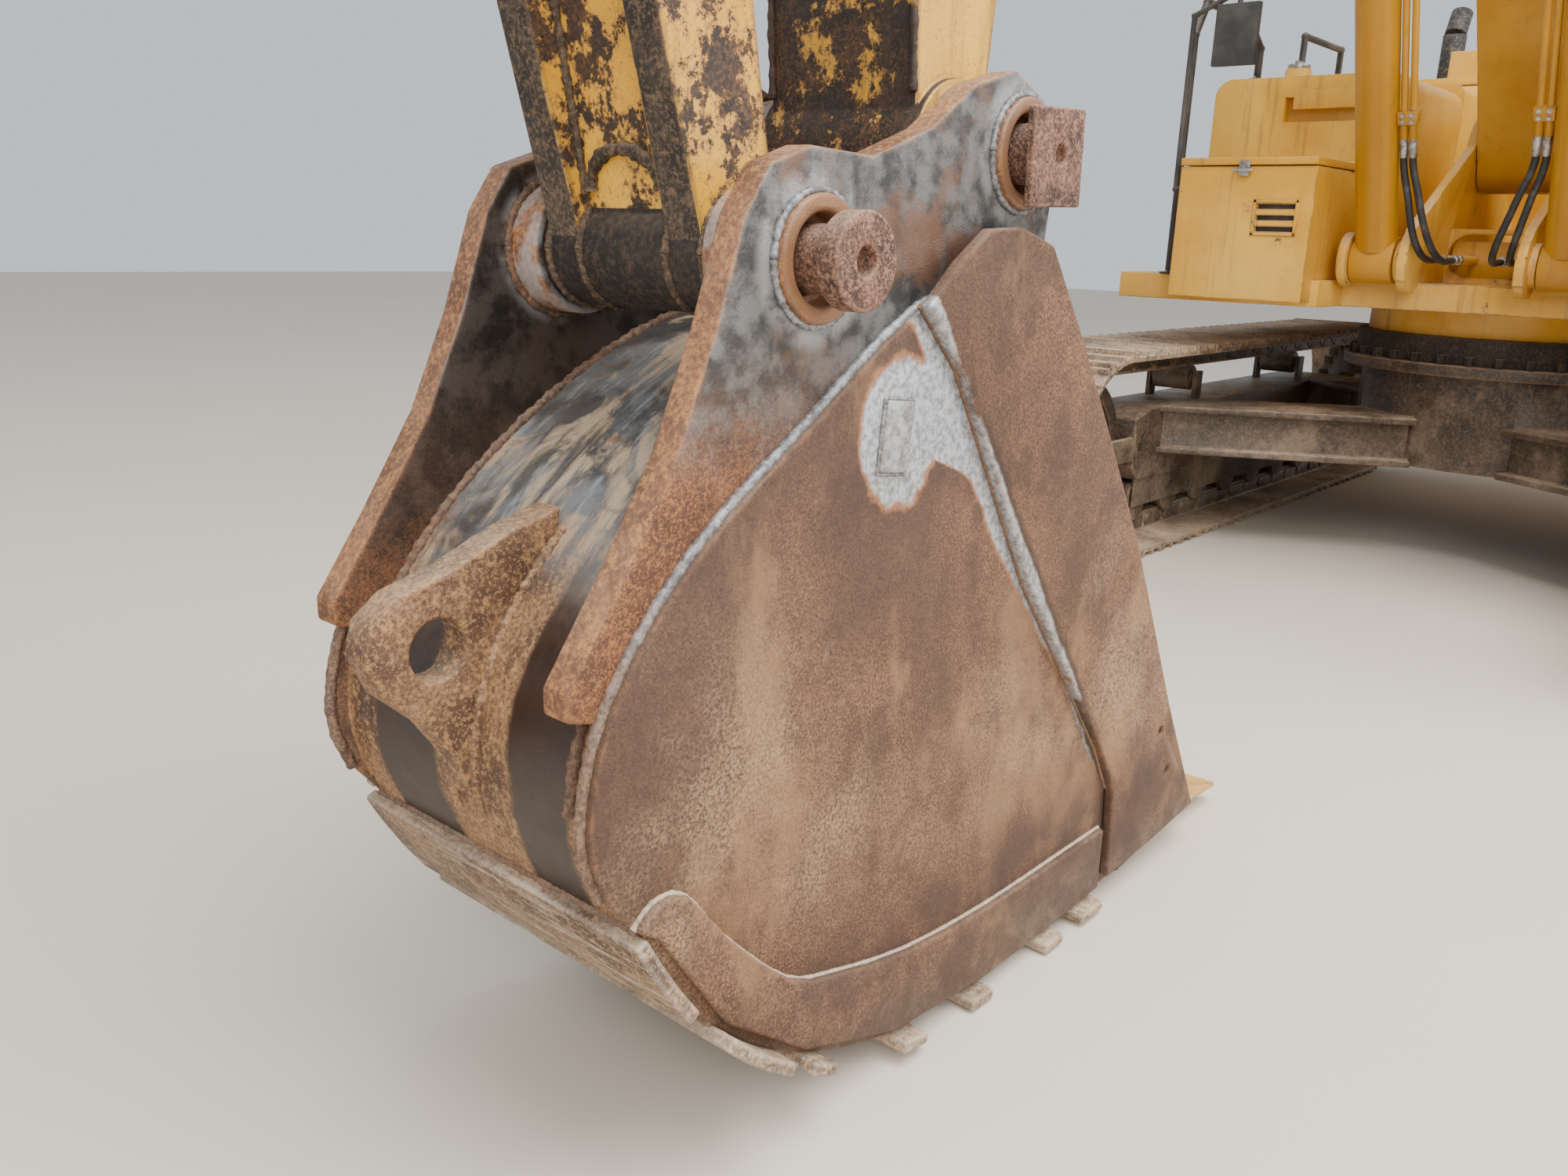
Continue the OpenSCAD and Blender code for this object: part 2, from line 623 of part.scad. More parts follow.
rail_r = 17;
fuel_top = deck_top + tank_h - 40;
hyd_top = deck_top + tank_h;
module hand_rails() color([0.15, 0.14, 0.12]) at_swing() {
    rail([[1150, -1180, deck_top], [1150, -1180, 2240], [1060, -1180, 2380], [600, -1180, 2380],
        [420, -1180, 2270], [420, -1180, fuel_top]], rail_r);
    rail([[hyd_x[0] + 60, -1320, hyd_top], [hyd_x[0] + 60, -1320, 2450],
        [hyd_x[1] - 80, -1320, 2450], [hyd_x[1] - 80, -1320, hyd_top]], rail_r);
}

module mirrors() color([0.1, 0.1, 0.1]) at_swing() {
    rail([[1240, box_y[0], 1600], [1240, -1150, 1600], [1240, -1150, 2300], [1260, -950, 2380],
        [1260, -950, 2329]], 11);
    block([1245, -1040, 2090], [1275, -860, 2330]);
    rail([[1290, cab_y1, 2450], [1290, 1490, 2450], [1400, 1520, 2450], [1400, 1520, 2399]], 11);
    block([1385, 1450, 2180], [1415, 1590, 2400]);
}

module exhaust() color([0.2, 0.17, 0.15]) at_swing() difference() {
    union() {
        translate([-2050, -1000, bay_top + gap + 40]) cylinder(r = 65, h = 345);
        translate([-2050, -1000, bay_top + gap + 385]) rotate([0, -30, 0]) cylinder(r = 60, h = 150);
    }
    translate([-2050, -1000, bay_top + gap + 385]) rotate([0, -30, 0])
        translate([0, 0, 20]) cylinder(r = 52, h = 150);
}

pipe_x = 760;
pipe_z = 1340;
module centre_pipes() color([0.75, 0.5, 0.08]) at_swing() {
    block([385, -185, deck_top], [480, 185, deck_top + 180]);
    for (y = [-150, -90, 90, 150]) rod([479, y, pipe_z], [pipe_x, y, pipe_z], 18);
}

// Boom: stations along its centre line, as [x, z, direction, depth]
boom_table = [[foot_x, foot_z, 60, 290], [560, 2420, 56, 380], [1150, 3210, 49, 580],
    [1700, 3760, 38, 720], [2300, 4080, 20, 740], [3100, 4250, 8, 620], [4100, 4372, 4, 450],
    [tip_x - 200, tip_z + 8, 2, 330]];
boom_low = curve([for (b = boom_table) [b[0], b[1]] + b[3] / 2 * [sin(b[2]), -cos(b[2])]], 3);
boom_high = curve([for (b = boom_table) [b[0], b[1]] + b[3] / 2 * [-sin(b[2]), cos(b[2])]], 3);
fork_in = stick_w / 2 + 22;
fork_t = 40;

module boom() color([0.8, 0.55, 0.1]) at_swing() {
    difference() {
        union() {
            side(-boom_w / 2, boom_w / 2) {
                polygon(concat(boom_low, back_to_front(boom_high)));
                translate(foot) circle(r = 150);
            }
            cross(lift_eye, 110, -lift_y + lift_half + gap, lift_y - lift_half - gap);
            both() side(fork_in, fork_in + fork_t) {
                polygon([tip + [-700, 168], tip + [-700, -180], tip + [-20, -160], tip + [-20, 160]]);
                translate(tip) circle(r = 165);
            }
            both() side(crowd_foot_half + gap, crowd_foot_half + gap + 40) {
                translate(crowd_foot) circle(r = 110);
                polygon([crowd_foot + [-100, 36], crowd_foot + [100, 36], crowd_foot + [300, -290],
                    crowd_foot + [-420, -420]]);
            }
        }
        cross(foot, 55 + play, -boom_w, boom_w);
        block([tip_x - 560, -fork_in, tip_z - 400], [tip_x + 400, fork_in, tip_z + 400]);
    }
    cross(tip, 50, -fork_in - fork_t - 12, fork_in + fork_t + 12);
    cross(crowd_foot, 45, -crowd_foot_half - gap - 50, crowd_foot_half + gap + 50);
}

crowd_half = 62;
curl_half = 60;
crowd_foot_half = crowd_r + foot_over;
curl_foot_half = curl_r + foot_over;

// Hard lines along the top of the boom, with their clamps
line_span = [6, 18];
module boom_lines() color([0.78, 0.53, 0.1]) at_swing() both() {
    for (y = [142, 168]) side(y, y + 18) boom_strip(line_span[0], line_span[1], 8, 30);
    for (k = [7 : 3 : 16]) side(140, 188) boom_clamp(boom_high[k], boom_high[k + 1]);
}

// Strip above the boom's top edge, from point i to point j, between two heights
module boom_clamp(p, q) translate(p) rotate(slope(p, q)) translate([norm(q - p) * 0.3, 0.3])
    square([norm(q - p) * 0.4, 18]);
module boom_strip(i, j, lo, hi) polygon(concat([for (k = [i : j]) beside(boom_high, lo)[k]],
    [for (k = [j : -1 : i]) beside(boom_high, hi)[k]]));

// Cylinders: barrel from its foot, with a head, and the rod with its eye
module barrel(p, q, r, half, foot_r, foot_bore, length) {
    a = slope(p, q);
    difference() {
        union() {
            translate([p[0], 0, p[1]]) rotate([0, 90 - a, 0]) {
                translate([0, 0, foot_r * 0.7]) cylinder(r = r, h = length - foot_r * 0.7);
                translate([0, 0, length - 110]) cylinder(r = r + 14, h = 90);
            }
            cross(p, foot_r, -half, half);
        }
        cross(p, foot_bore, -half - 1, half + 1);
        translate([p[0], 0, p[1]]) rotate([0, 90 - a, 0]) {
            translate([0, 0, foot_r + 60]) cylinder(r = rod_r + gap, h = length - foot_r - 140);
            translate([0, 0, foot_r + 60]) cylinder(r = rod_r + play, h = length);
        }
    }
}

module piston_rod(p, q, half, eye_r, start) {
    a = slope(p, q);
    translate([p[0], 0, p[1]]) rotate([0, 90 - a, 0]) translate([0, 0, start])
        cylinder(r = rod_r, h = norm(q - p) - start - eye_r * 0.6);
    cross(q, eye_r, -half, half);
}

lift_len = 1640;
crowd_len = 1880;
curl_len = 1500;

module boom_barrels() color([0.8, 0.55, 0.1]) at_swing()
    for (s = [-1, 1]) translate([0, s * lift_y, 0])
        barrel(lift_foot, lift_eye, lift_r, lift_foot_half, 95, 50 + play, lift_len);
module boom_rods() color([0.8, 0.8, 0.82]) at_swing()
    for (s = [-1, 1]) translate([0, s * lift_y, 0])
        piston_rod(lift_foot, lift_eye, lift_half, 95, 1095);

// Hard lines beside each boom barrel, with their clamp blocks
line_at = 600;
line_y = [-100, -134];
module barrel_lines() color([0.78, 0.53, 0.1]) at_swing() both()
    translate([lift_foot[0], lift_y, lift_foot[1]]) rotate([0, 90 - slope(lift_foot, lift_eye), 0]) {
        block([-22, line_y[1] - 19, line_at - 25], [22, -lift_r, line_at + 25]);
        for (y = line_y) translate([0, y, 0]) {
            translate([0, 0, line_at - 86]) cylinder(r = 16, h = 62);
            translate([0, 0, line_at + 24]) cylinder(r = 13, h = 800);
        }
    }

module stick_barrel() color([0.8, 0.55, 0.1]) at_swing()
    barrel(crowd_foot, crowd_eye, crowd_r, crowd_foot_half, 100, 45 + play, crowd_len);
module stick_rod() color([0.8, 0.8, 0.82]) at_swing()
    piston_rod(crowd_foot, crowd_eye, crowd_half, 95, 1440);
module bucket_barrel() color([0.8, 0.55, 0.1]) at_swing()
    barrel(curl_foot, pin_c, curl_r, curl_foot_half, 90, 45 + play, curl_len);
module bucket_rod() color([0.8, 0.8, 0.82]) at_swing()
    piston_rod(curl_foot, pin_c, curl_half, 85, 700);

// Stick: side outline from the bucket pin to the tail
stick_dir = (tip - pin_a) / norm(tip - pin_a);
stick_out = [stick_dir[1], -stick_dir[0]];
function on_stick(s, o) = pin_a + s * stick_dir + o * stick_out;

tail_dir = (crowd_eye - tip) / norm(crowd_eye - tip);
tail_up = [-tail_dir[1], tail_dir[0]];
function on_tail(s, o) = crowd_eye + s * tail_dir + o * tail_up;

module stick() color([0.8, 0.55, 0.1]) at_swing() {
    difference() {
        union() {
            side(-stick_w / 2, stick_w / 2)
                polygon([on_stick(0, 90), on_stick(300, 75), on_stick(620, 38), on_stick(1320, 38),
                    on_stick(arm - 630, 195), on_stick(arm - 180, 250), on_tail(-180, -100),
                    on_tail(-180, 100), on_stick(arm + 220, -60), on_stick(arm + 20, -190),
                    on_stick(400, -180), on_stick(60, -100)]);
            cross(pin_a, 115, -165, 165);
            cross(pin_d, 85, -165, 165);
            cross(tip, 170, -stick_w / 2 - 15, stick_w / 2 + 15);
            both() side(curl_foot_half + gap, curl_foot_half + gap + 40) {
                translate(curl_foot) circle(r = 100);
                polygon([curl_foot + [-55, 75], curl_foot + [50, -75], on_stick(arm - 680, 150),
                    on_stick(arm + 70, 150)]);
            }
            both() side(crowd_half + gap, crowd_half + gap + 40) {
                translate(crowd_eye) circle(r = 115);
                polygon([on_tail(20, -108), on_tail(20, 108), on_tail(-360, 90),
                    on_tail(-360, -90)]);
            }
        }
        cross(pin_a, pin_r + play, -200, 200);
        cross(tip, 50 + play, -300, 300);
        side(-crowd_half - gap, crowd_half + gap) translate(crowd_eye) circle(r = 340);
    }
    cross(crowd_eye, 45, crowd_half + gap + 2, crowd_half + gap + 50);
    cross(crowd_eye, 45, -crowd_half - gap - 50, -crowd_half - gap - 2);
    cross(curl_foot, 45, -curl_foot_half - gap - 50, curl_foot_half + gap + 50);
    cross(pin_d, 40, -165 - gap - idler_t - 3, 165 + gap + idler_t + 3);
}

// Lifting lug behind the stick's lower end
module stick_lug() color([0.4, 0.4, 0.4]) at_swing() difference() {
    side(-45, 45) difference() {
        union() {
            translate(on_stick(330, -228)) circle(r = 80);
            polygon([on_stick(200, -90), on_stick(262, -225), on_stick(398, -225),
                on_stick(600, -90)]);
        }
        polygon([on_stick(60, -100), on_stick(400, -180), on_stick(arm + 20, -190),
            on_stick(arm + 20, 0), on_stick(60, 0)]);
    }
    cross(on_stick(330, -228), 38, -60, 60);
}

idler_in = 165 + gap;
module idler_links() color([0.35, 0.25, 0.15]) at_swing() both() difference() {
    union() {
        side(idler_in, idler_in + idler_t) strap(pin_d, 85, pin_c, 72, 110);
        cross(pin_c, 42, idler_in + idler_t - 1, idler_in + idler_t + 6);
    }
    cross(pin_d, 40 + play, idler_in - 1, idler_in + idler_t + 1);
}

link_dir = (pin_c - pin_b) / norm(pin_c - pin_b);
link_out = [link_dir[1], -link_dir[0]];
function on_link(s, o) = pin_b + s * link_dir + o * link_out;

module power_link() color([0.4, 0.28, 0.14]) at_swing() difference() {
    union() {
        cross(pin_b, 82, -165, 165);
        both() {
            side(92, 155) {
                polygon([on_link(0, 72), on_link(250, 92), on_link(link_len - 180, 106),
                    on_link(link_len, 66), on_link(link_len, -66), on_link(link_len - 45, -50),
                    on_link(link_len - 92, 4), on_link(link_len - 190, 6),
                    on_link(link_len - 255, -44), on_link(330, -78), on_link(0, -70)]);
                translate(pin_c) circle(r = 74);
            }
            cross(pin_c, 68, curl_half + gap, 165);
        }
        side(-100, 100) polygon([on_link(40, 50), on_link(380, 50), on_link(380, -50),
            on_link(40, -50)]);
    }
    cross(pin_b, pin_r + play, -200, 200);
}

// Bucket, with side-view points counted from the stick pin
function bk(x, z) = pin_a + [x, z];
wrap_pts = [bk(-600, -1452), bk(-300, -1462), bk(-40, -1465), bk(240, -1440), bk(480, -1350),
    bk(670, -1205), bk(810, -1000), bk(862, -840), bk(820, -680), bk(700, -530), bk(520, -395),
    bk(320, -295), bk(120, -245), bk(-20, -235)];
wrap_out = curve(wrap_pts, 4);
wrap_in = beside(wrap_out, wrap_t);
rim_pts = [bk(-20, -165), bk(254, -225), bk(500, -375), bk(713, -520), bk(850, -680),
    bk(892, -835), bk(862, -935)];
mouth_pts = [bk(-915, -1405), bk(-732, -1094), bk(-489, -697), bk(-306, -447), bk(-172, -274),
    bk(-60, -170)];

module bucket_shell() color([0.35, 0.22, 0.16]) at_swing() {
    side(-bucket_hw + 1, bucket_hw - 1) polygon(concat(wrap_out, back_to_front(wrap_in)));
    both() side(bucket_hw - side_t, bucket_hw)
        polygon(concat(curve(rim_pts, 3), [for (k = [24 : -1 : 0]) wrap_out[k]], mouth_pts));
    side(-bucket_hw + 1, bucket_hw - 1) polygon(concat([bk(-590, -1400), bk(-590, -1452),
        bk(-640, -1458)], lip_nose, [bk(-640, -1405)]));
    side(-bucket_hw + 1, bucket_hw - 1) hinge_bar_area();
}

lip_nose = [bk(-950, -1418), bk(-960, -1400)];
module hinge_bar_area() polygon([bk(-45, -280), bk(-45, -225), bk(40, -225), bk(40, -280)]);

ear_in = bucket_hw - side_t - ear_t;
ear_out = bucket_hw - side_t;
boss_in = 165 + gap;
ear_top = [bk(-95, -150), bk(-112, -20), bk(-60, 85), bk(30, 118), bk(130, 90), bk(240, 20),
    bk(370, -25), bk(500, -20), bk(575, -45), bk(620, -110), bk(670, -255), bk(735, -400),
    bk(825, -540), bk(905, -655), bk(905, -690), bk(870, -700)];

// The room inside the wrapper, up to the mouth
module inside_area() polygon(concat(wrap_out, [bk(-300, -500)]));

module ear_area() difference() {
    polygon(concat(ear_top, [bk(760, -760), bk(420, -480), bk(-10, -320), bk(-95, -240)]));
    inside_area();
    hinge_bar_area();
}

module bucket_ears() color([0.35, 0.27, 0.22]) at_swing() both() difference() {
    union() {
        side(ear_in, ear_out) ear_area();
        for (p = [pin_a, pin_b]) {
            cross(p, 98, boss_in, ear_in + 1);
            cross(p, 83, ear_out - 1, ear_out + 16);
        }
    }
    for (p = [pin_a, pin_b]) {
        cross(p, pin_r + play, boss_in - 1, ear_out + 20);
        cross(p, 60, ear_out - 22, ear_out + 20);
    }
}

side_plate = [bk(279, -223), bk(205, -160), bk(131, -113), bk(43, -108), bk(-56, -134),
    bk(-172, -274), bk(-306, -447), bk(-489, -697), bk(-732, -1094), bk(-935, -1400),
    bk(-700, -1420), bk(-513, -1431), bk(-493, -1222), bk(-423, -1112), bk(-74, -698),
    bk(178, -318)];
heel_top = [bk(-480, -1307), bk(-300, -1307), bk(-32, -1305), bk(214, -1284), bk(406, -1239),
    bk(521, -1195), bk(659, -1065), bk(736, -970), bk(792, -960), bk(826, -985)];
heel_low = [bk(790, -1010), bk(655, -1205), bk(480, -1338), bk(244, -1425), bk(-28, -1453),
    bk(-287, -1450), bk(-480, -1444)];

module bucket_sides() color([0.36, 0.24, 0.18]) at_swing() both() {
    difference() {
        side(bucket_hw, bucket_hw + wear_t) polygon(side_plate);
        for (p = [bk(-700, -1150), bk(-760, -1260)]) cross(p, 11, bucket_hw - 1, bucket_hw + 99);
    }
    side(bucket_hw, bucket_hw + wear_t - 4) polygon(concat(curve(heel_top, 2), heel_low));
}

// Wear bars on the facets of the wrapper: first, last and reach past the side panels
bar_table = [[2, 2, 40], [4, 4, 40], [8, 8, 40], [11, 11, 40], [15, 15, 40], [17, 19, 45],
    [21, 23, 15]];
bar_out = beside(wrap_out, -22);

module bucket_bars() color([0.45, 0.35, 0.22]) at_swing() for (b = bar_table)
    side(-bucket_hw - b[2], bucket_hw + b[2])
        polygon(concat([for (k = [b[0] : b[1] + 1]) wrap_out[k]],
            [for (k = [b[1] + 1 : -1 : b[0]]) bar_out[k]]));

tooth_side = concat([bk(-820, -1375), bk(-1000, -1385), bk(-1180, -1440), bk(-1178, -1452),
    bk(-1000, -1440)], lip_nose, [bk(-820, -1402.1875)]);
tooth_half = 45;
tooth_y = bucket_hw - side_t - tooth_half - 1;
module bucket_teeth() color([0.8, 0.55, 0.1]) at_swing()
    for (i = [0 : tooth_count - 1])
        let (y = -tooth_y + i * 2 * tooth_y / (tooth_count - 1))
            side(y - tooth_half, y + tooth_half) polygon(tooth_side);

eye_pts = [bk(700, -500), bk(783, -520), bk(883, -560), bk(960, -580), bk(1000, -610),
    bk(1012, -655), bk(985, -710), bk(925, -765), bk(890, -815), bk(868, -880), bk(850, -880)];
module bucket_eye() color([0.4, 0.28, 0.2]) at_swing() side(-26, 26) difference() {
    polygon(concat(eye_pts, [bk(760, -760)]));
    inside_area();
    translate(bk(905, -662)) circle(r = 42);
}

module bucket_pins() color([0.45, 0.3, 0.2]) at_swing() {
    cross(pin_b, pin_r, -ear_out - 30, ear_out + 50);
    difference() {
        cross(pin_b, 63, ear_out + 50, ear_out + 85);
        cross(pin_b, 20, ear_out + 60, ear_out + 86);
    }
    cross(pin_a, pin_r, -ear_out - 30, ear_out + 45);
    side(ear_out + 45, ear_out + 60) difference() {
        polygon([pin_a + [-90, -75], pin_a + [60, -80], pin_a + [65, 65], pin_a + [-85, 70]]);
        translate(pin_a + [-20, 0]) circle(r = 16);
    }
    side(-ear_out - 45, -ear_out - 30) polygon([pin_a + [-80, -70], pin_a + [70, -75],
        pin_a + [75, 65], pin_a + [-75, 70]]);
}

// Hose routes from a centre pipe to a line beside a boom barrel, on the left of the machine
outer_route = [[pipe_x, 150, pipe_z], [820, 150, pipe_z], [885, 150, 1337], [950, 152, 1337],
    [1008, 158, 1348], [1056, 168, 1374], [1091, 181, 1415], [1112, 194, 1465], [1124, 207, 1522],
    [1133, 220, 1582], [1140, 236, 1640], [1153, 247, 1697], [1171.7, 250, 1745.3], [1194.4, 250, 1792.1]];
inner_route = [[pipe_x, 90, pipe_z], [822, 90, pipe_z], [890, 90, 1336], [958, 92, 1333],
    [1020, 98, 1345], [1072, 110, 1374], [1108, 126, 1418], [1128, 144, 1470], [1138, 162, 1528],
    [1143, 179, 1588], [1146, 199, 1646], [1156, 212, 1699], [1171.7, 216, 1745.3], [1194.4, 216, 1792.1]];
hose_r = 14;
hose_sides = 10;

// Ring of points round a route's point i
function ring(p, i) =
    let (t = p[min(i + 1, len(p) - 1)] - p[max(i - 1, 0)], d = t / norm(t),
        u = cross(d, [0, 1, 0]) / norm(cross(d, [0, 1, 0])), v = cross(d, u))
    [for (k = [0 : hose_sides - 1]) p[i] + hose_r * (cos(k * 360 / hose_sides) * u
        + sin(k * 360 / hose_sides) * v)];

module tube(p) polyhedron(points = [for (i = [0 : len(p) - 1]) each ring(p, i)],
    faces = concat([[for (k = [0 : hose_sides - 1]) k]],
        [[for (k = [hose_sides - 1 : -1 : 0]) (len(p) - 1) * hose_sides + k]],
        [for (i = [0 : len(p) - 2], k = [0 : hose_sides - 1])
            let (a = i * hose_sides, b = a + hose_sides, n = (k + 1) % hose_sides)
            [a + k, b + k, b + n, a + n]]));

module hose_color() color([0.06, 0.06, 0.06]) at_swing() children();
module hose_left_outer() hose_color() tube(outer_route);
module hose_left_inner() hose_color() tube(inner_route);
module hose_right_outer() hose_color() mirror([0, 1, 0]) tube(outer_route);
module hose_right_inner() hose_color() mirror([0, 1, 0]) tube(inner_route);

carbody();
track_frames();
track_left();
track_right();
rollers();
idlers();
sprockets();
bearing_ring();
upper_frame();
counterweight();
engine_block();
bay_walls();
engine_hood();
door_left();
door_right();
tanks();
toolbox();
toolbox_lid();
cab();
cab_door();
cab_glass();
cab_seat();
hand_rails();
mirrors();
exhaust();
centre_pipes();
boom();
boom_lines();
boom_barrels();
boom_rods();
barrel_lines();
stick_barrel();
stick_rod();
stick();
stick_lug();
bucket_barrel();
bucket_rod();
idler_links();
power_link();
bucket_shell();
bucket_ears();
bucket_sides();
bucket_bars();
bucket_teeth();
bucket_eye();
bucket_pins();
hose_left_outer();
hose_left_inner();
hose_right_outer();
hose_right_inner();
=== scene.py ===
import json
import math

import bpy
from mathutils import Matrix, Vector

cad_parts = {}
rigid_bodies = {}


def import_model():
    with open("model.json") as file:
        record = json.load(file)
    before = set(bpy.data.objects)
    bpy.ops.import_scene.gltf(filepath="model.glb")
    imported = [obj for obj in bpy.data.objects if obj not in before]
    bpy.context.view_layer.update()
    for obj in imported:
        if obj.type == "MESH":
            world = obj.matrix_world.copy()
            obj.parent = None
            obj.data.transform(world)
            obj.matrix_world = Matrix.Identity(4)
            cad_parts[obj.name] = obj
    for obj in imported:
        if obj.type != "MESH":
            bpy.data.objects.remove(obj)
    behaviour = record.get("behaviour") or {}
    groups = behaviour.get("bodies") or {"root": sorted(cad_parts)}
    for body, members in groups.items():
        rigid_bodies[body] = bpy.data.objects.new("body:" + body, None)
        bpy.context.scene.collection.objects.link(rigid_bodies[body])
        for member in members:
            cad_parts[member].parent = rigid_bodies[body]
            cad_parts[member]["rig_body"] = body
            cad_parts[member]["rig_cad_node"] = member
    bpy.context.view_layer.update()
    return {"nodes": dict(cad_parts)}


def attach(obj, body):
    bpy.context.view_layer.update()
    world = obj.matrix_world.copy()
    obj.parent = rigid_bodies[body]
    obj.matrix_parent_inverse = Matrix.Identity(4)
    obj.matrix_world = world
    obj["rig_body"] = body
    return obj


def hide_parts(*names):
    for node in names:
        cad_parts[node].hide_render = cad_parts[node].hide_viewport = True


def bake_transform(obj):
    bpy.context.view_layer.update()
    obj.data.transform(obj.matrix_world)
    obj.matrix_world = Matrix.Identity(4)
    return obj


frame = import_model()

# Crawler excavator with a narrow trenching bucket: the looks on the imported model
nodes = frame["nodes"]
SWING = -1.491


def at(x, z, y=0.0):
    """A point given in side view from the swing centre, in metres."""
    return Vector((x + SWING, y, z))


PIN_A = at(4.92, 1.49)
PIN_B = at(5.405, 1.33)
PINS = (PIN_A, PIN_B)


def bucket_at(x, z, y=0.0):
    """A point on the bucket, counted from its stick pin."""
    return PIN_A + Vector((x, y, z))


# Camera, where the photographer stood
camera_data = bpy.data.cameras.new("main_camera")
camera_data.lens = 28.7
camera_data.sensor_width = 36.0
camera_data.clip_start = 0.05
camera_data.clip_end = 100.0
camera = bpy.data.objects.new("main_camera", camera_data)
bpy.context.collection.objects.link(camera)
right = Vector((-0.65920, 0.75130, 0.03156))
down = Vector((0.18551, 0.20315, -0.96141))
ahead = Vector((-0.72873, -0.62791, -0.27329))
turn = Matrix((right, -down, -ahead)).transposed()
camera.matrix_world = Matrix.Translation((5.203, 1.359, 1.362)) @ turn.to_4x4()
bpy.context.scene.camera = camera


# Work on meshes, as by hand
def deselect():
    if bpy.context.object and bpy.context.object.mode != "OBJECT":
        bpy.ops.object.mode_set(mode="OBJECT")
    bpy.ops.object.select_all(action="DESELECT")


def pick(piece):
    deselect()
    piece.select_set(True)
    bpy.context.view_layer.objects.active = piece
    return piece


def edit(piece, mode="FACE"):
    pick(piece)
    bpy.ops.object.mode_set(mode="EDIT")
    bpy.ops.mesh.select_mode(type=mode)
    bpy.ops.mesh.select_all(action="SELECT")


def leave():
    bpy.ops.object.mode_set(mode="OBJECT")


def choose(piece, rule):
    """Selects the faces of the piece in edit whose normal the rule accepts."""
    bpy.ops.mesh.select_all(action="DESELECT")
    leave()
    for face in piece.data.polygons:
        face.select = rule(face.normal)
    bpy.ops.object.mode_set(mode="EDIT")


def modify(piece, kind, **values):
    pick(piece)
    modifier = piece.modifiers.new(kind.lower(), kind)
    for name, value in values.items():
        setattr(modifier, name, value)
    bpy.ops.object.modifier_apply(modifier=modifier.name)


def smooth(piece, angle=35):
    pick(piece)
    bpy.ops.object.shade_smooth_by_angle(angle=math.radians(angle))


def round_edges(piece, width, segments=2, angle=32):
    modify(piece, "BEVEL", width=width, segments=segments, limit_method="ANGLE",
           angle_limit=math.radians(angle), use_clamp_overlap=False, miter_outer="MITER_ARC")


def settle(piece, name, body, finish):
    """Joins a list, puts the place in the mesh, names it, paints it and lets it ride."""
    if isinstance(piece, list):
        piece = join(piece)
    pick(piece)
    bpy.ops.object.transform_apply(location=True, rotation=True, scale=True)
    piece.name = name
    piece.data.name = name
    piece.data.materials.clear()
    for one in finish if isinstance(finish, list) else [finish]:
        piece.data.materials.append(one)
    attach(piece, body)
    return piece


def join(pieces):
    deselect()
    for piece in pieces:
        piece.select_set(True)
    bpy.context.view_layer.objects.active = pieces[0]
    if len(pieces) > 1:
        bpy.ops.object.join()
    return bpy.context.view_layer.objects.active


def bar(start, end, radius, sides=16, edge=0.002):
    """A round bar between two points, with softened ends."""
    a, b = Vector(start), Vector(end)
    bpy.ops.mesh.primitive_cylinder_add(vertices=sides, radius=radius, depth=(b - a).length)
    made = bpy.context.object
    made.data.transform(Vector((0, 0, 1)).rotation_difference(b - a).to_matrix().to_4x4())
    made.data.transform(Matrix.Translation((a + b) / 2))
    round_edges(made, edge, 2, 50)
    smooth(made)
    return made


def slab(low, high, edge=0.003, segments=2):
    """A block between two corners, with rounded edges."""
    low, high = Vector(low), Vector(high)
    bpy.ops.mesh.primitive_cube_add(size=1, location=(low + high) / 2)
    made = bpy.context.object
    made.scale = high - low
    bpy.ops.object.transform_apply(location=True, rotation=True, scale=True)
    round_edges(made, edge, segments)
    smooth(made)
    return made


def hex_bolt(out, size, height):
    """A hexagon head with a chamfered top and a washer, standing along out."""
    bpy.ops.mesh.primitive_cylinder_add(vertices=6, radius=size, depth=height,
                                        location=(0, 0, height / 2 + 0.002))
    made = bpy.context.object
    bpy.ops.object.transform_apply(location=True)
    edit(made)
    choose(made, lambda normal: normal.z > 0.9)
    bpy.ops.mesh.inset(thickness=size * 0.16)
    bpy.ops.transform.translate(value=(0, 0, height * 0.16))
    leave()
    bpy.ops.mesh.primitive_cylinder_add(vertices=12, radius=size * 1.25, depth=0.004)
    made = join([made, bpy.context.object])
    made.data.transform(stand((0, 0, 0), out))
    return made


def path_tube(points, radius, sides, steps, sizes=None):
    """A smooth closed tube along points, as a mesh."""
    curve = bpy.data.curves.new("tube", "CURVE")
    curve.dimensions = "3D"
    curve.bevel_depth = radius
    curve.bevel_resolution = max(0, sides // 4 - 1)
    curve.use_fill_caps = True
    line = curve.splines.new("POLY")
    places = spread(points, steps)
    line.points.add(len(places) - 1)
    for i, place in enumerate(places):
        line.points[i].co = (*place, 1)
        if sizes:
            line.points[i].radius = sizes[i]
    made = bpy.data.objects.new("tube", curve)
    bpy.context.collection.objects.link(made)
    pick(made)
    bpy.ops.object.convert(target="MESH")
    made = bpy.context.object
    edit(made, "VERT")
    bpy.ops.mesh.remove_doubles(threshold=0.0001)
    bpy.ops.mesh.normals_make_consistent(inside=False)
    leave()
    smooth(made, 60)
    return made


def spread(points, steps):
    """Points of a smooth line through the given ones."""
    pts = [Vector(p) for p in points]
    if steps < 2:
        return pts
    made = []
    for i in range(len(pts) - 1):
        a, b, c, d = pts[max(i - 1, 0)], pts[i], pts[i + 1], pts[min(i + 2, len(pts) - 1)]
        for k in range(steps):
            t = k / steps
            made.append(0.5 * (2 * b + (c - a) * t + (2 * a - 5 * b + 4 * c - d) * t * t
                               + (3 * b - a - 3 * c + d) * t * t * t))
    made.append(pts[-1])
    return made


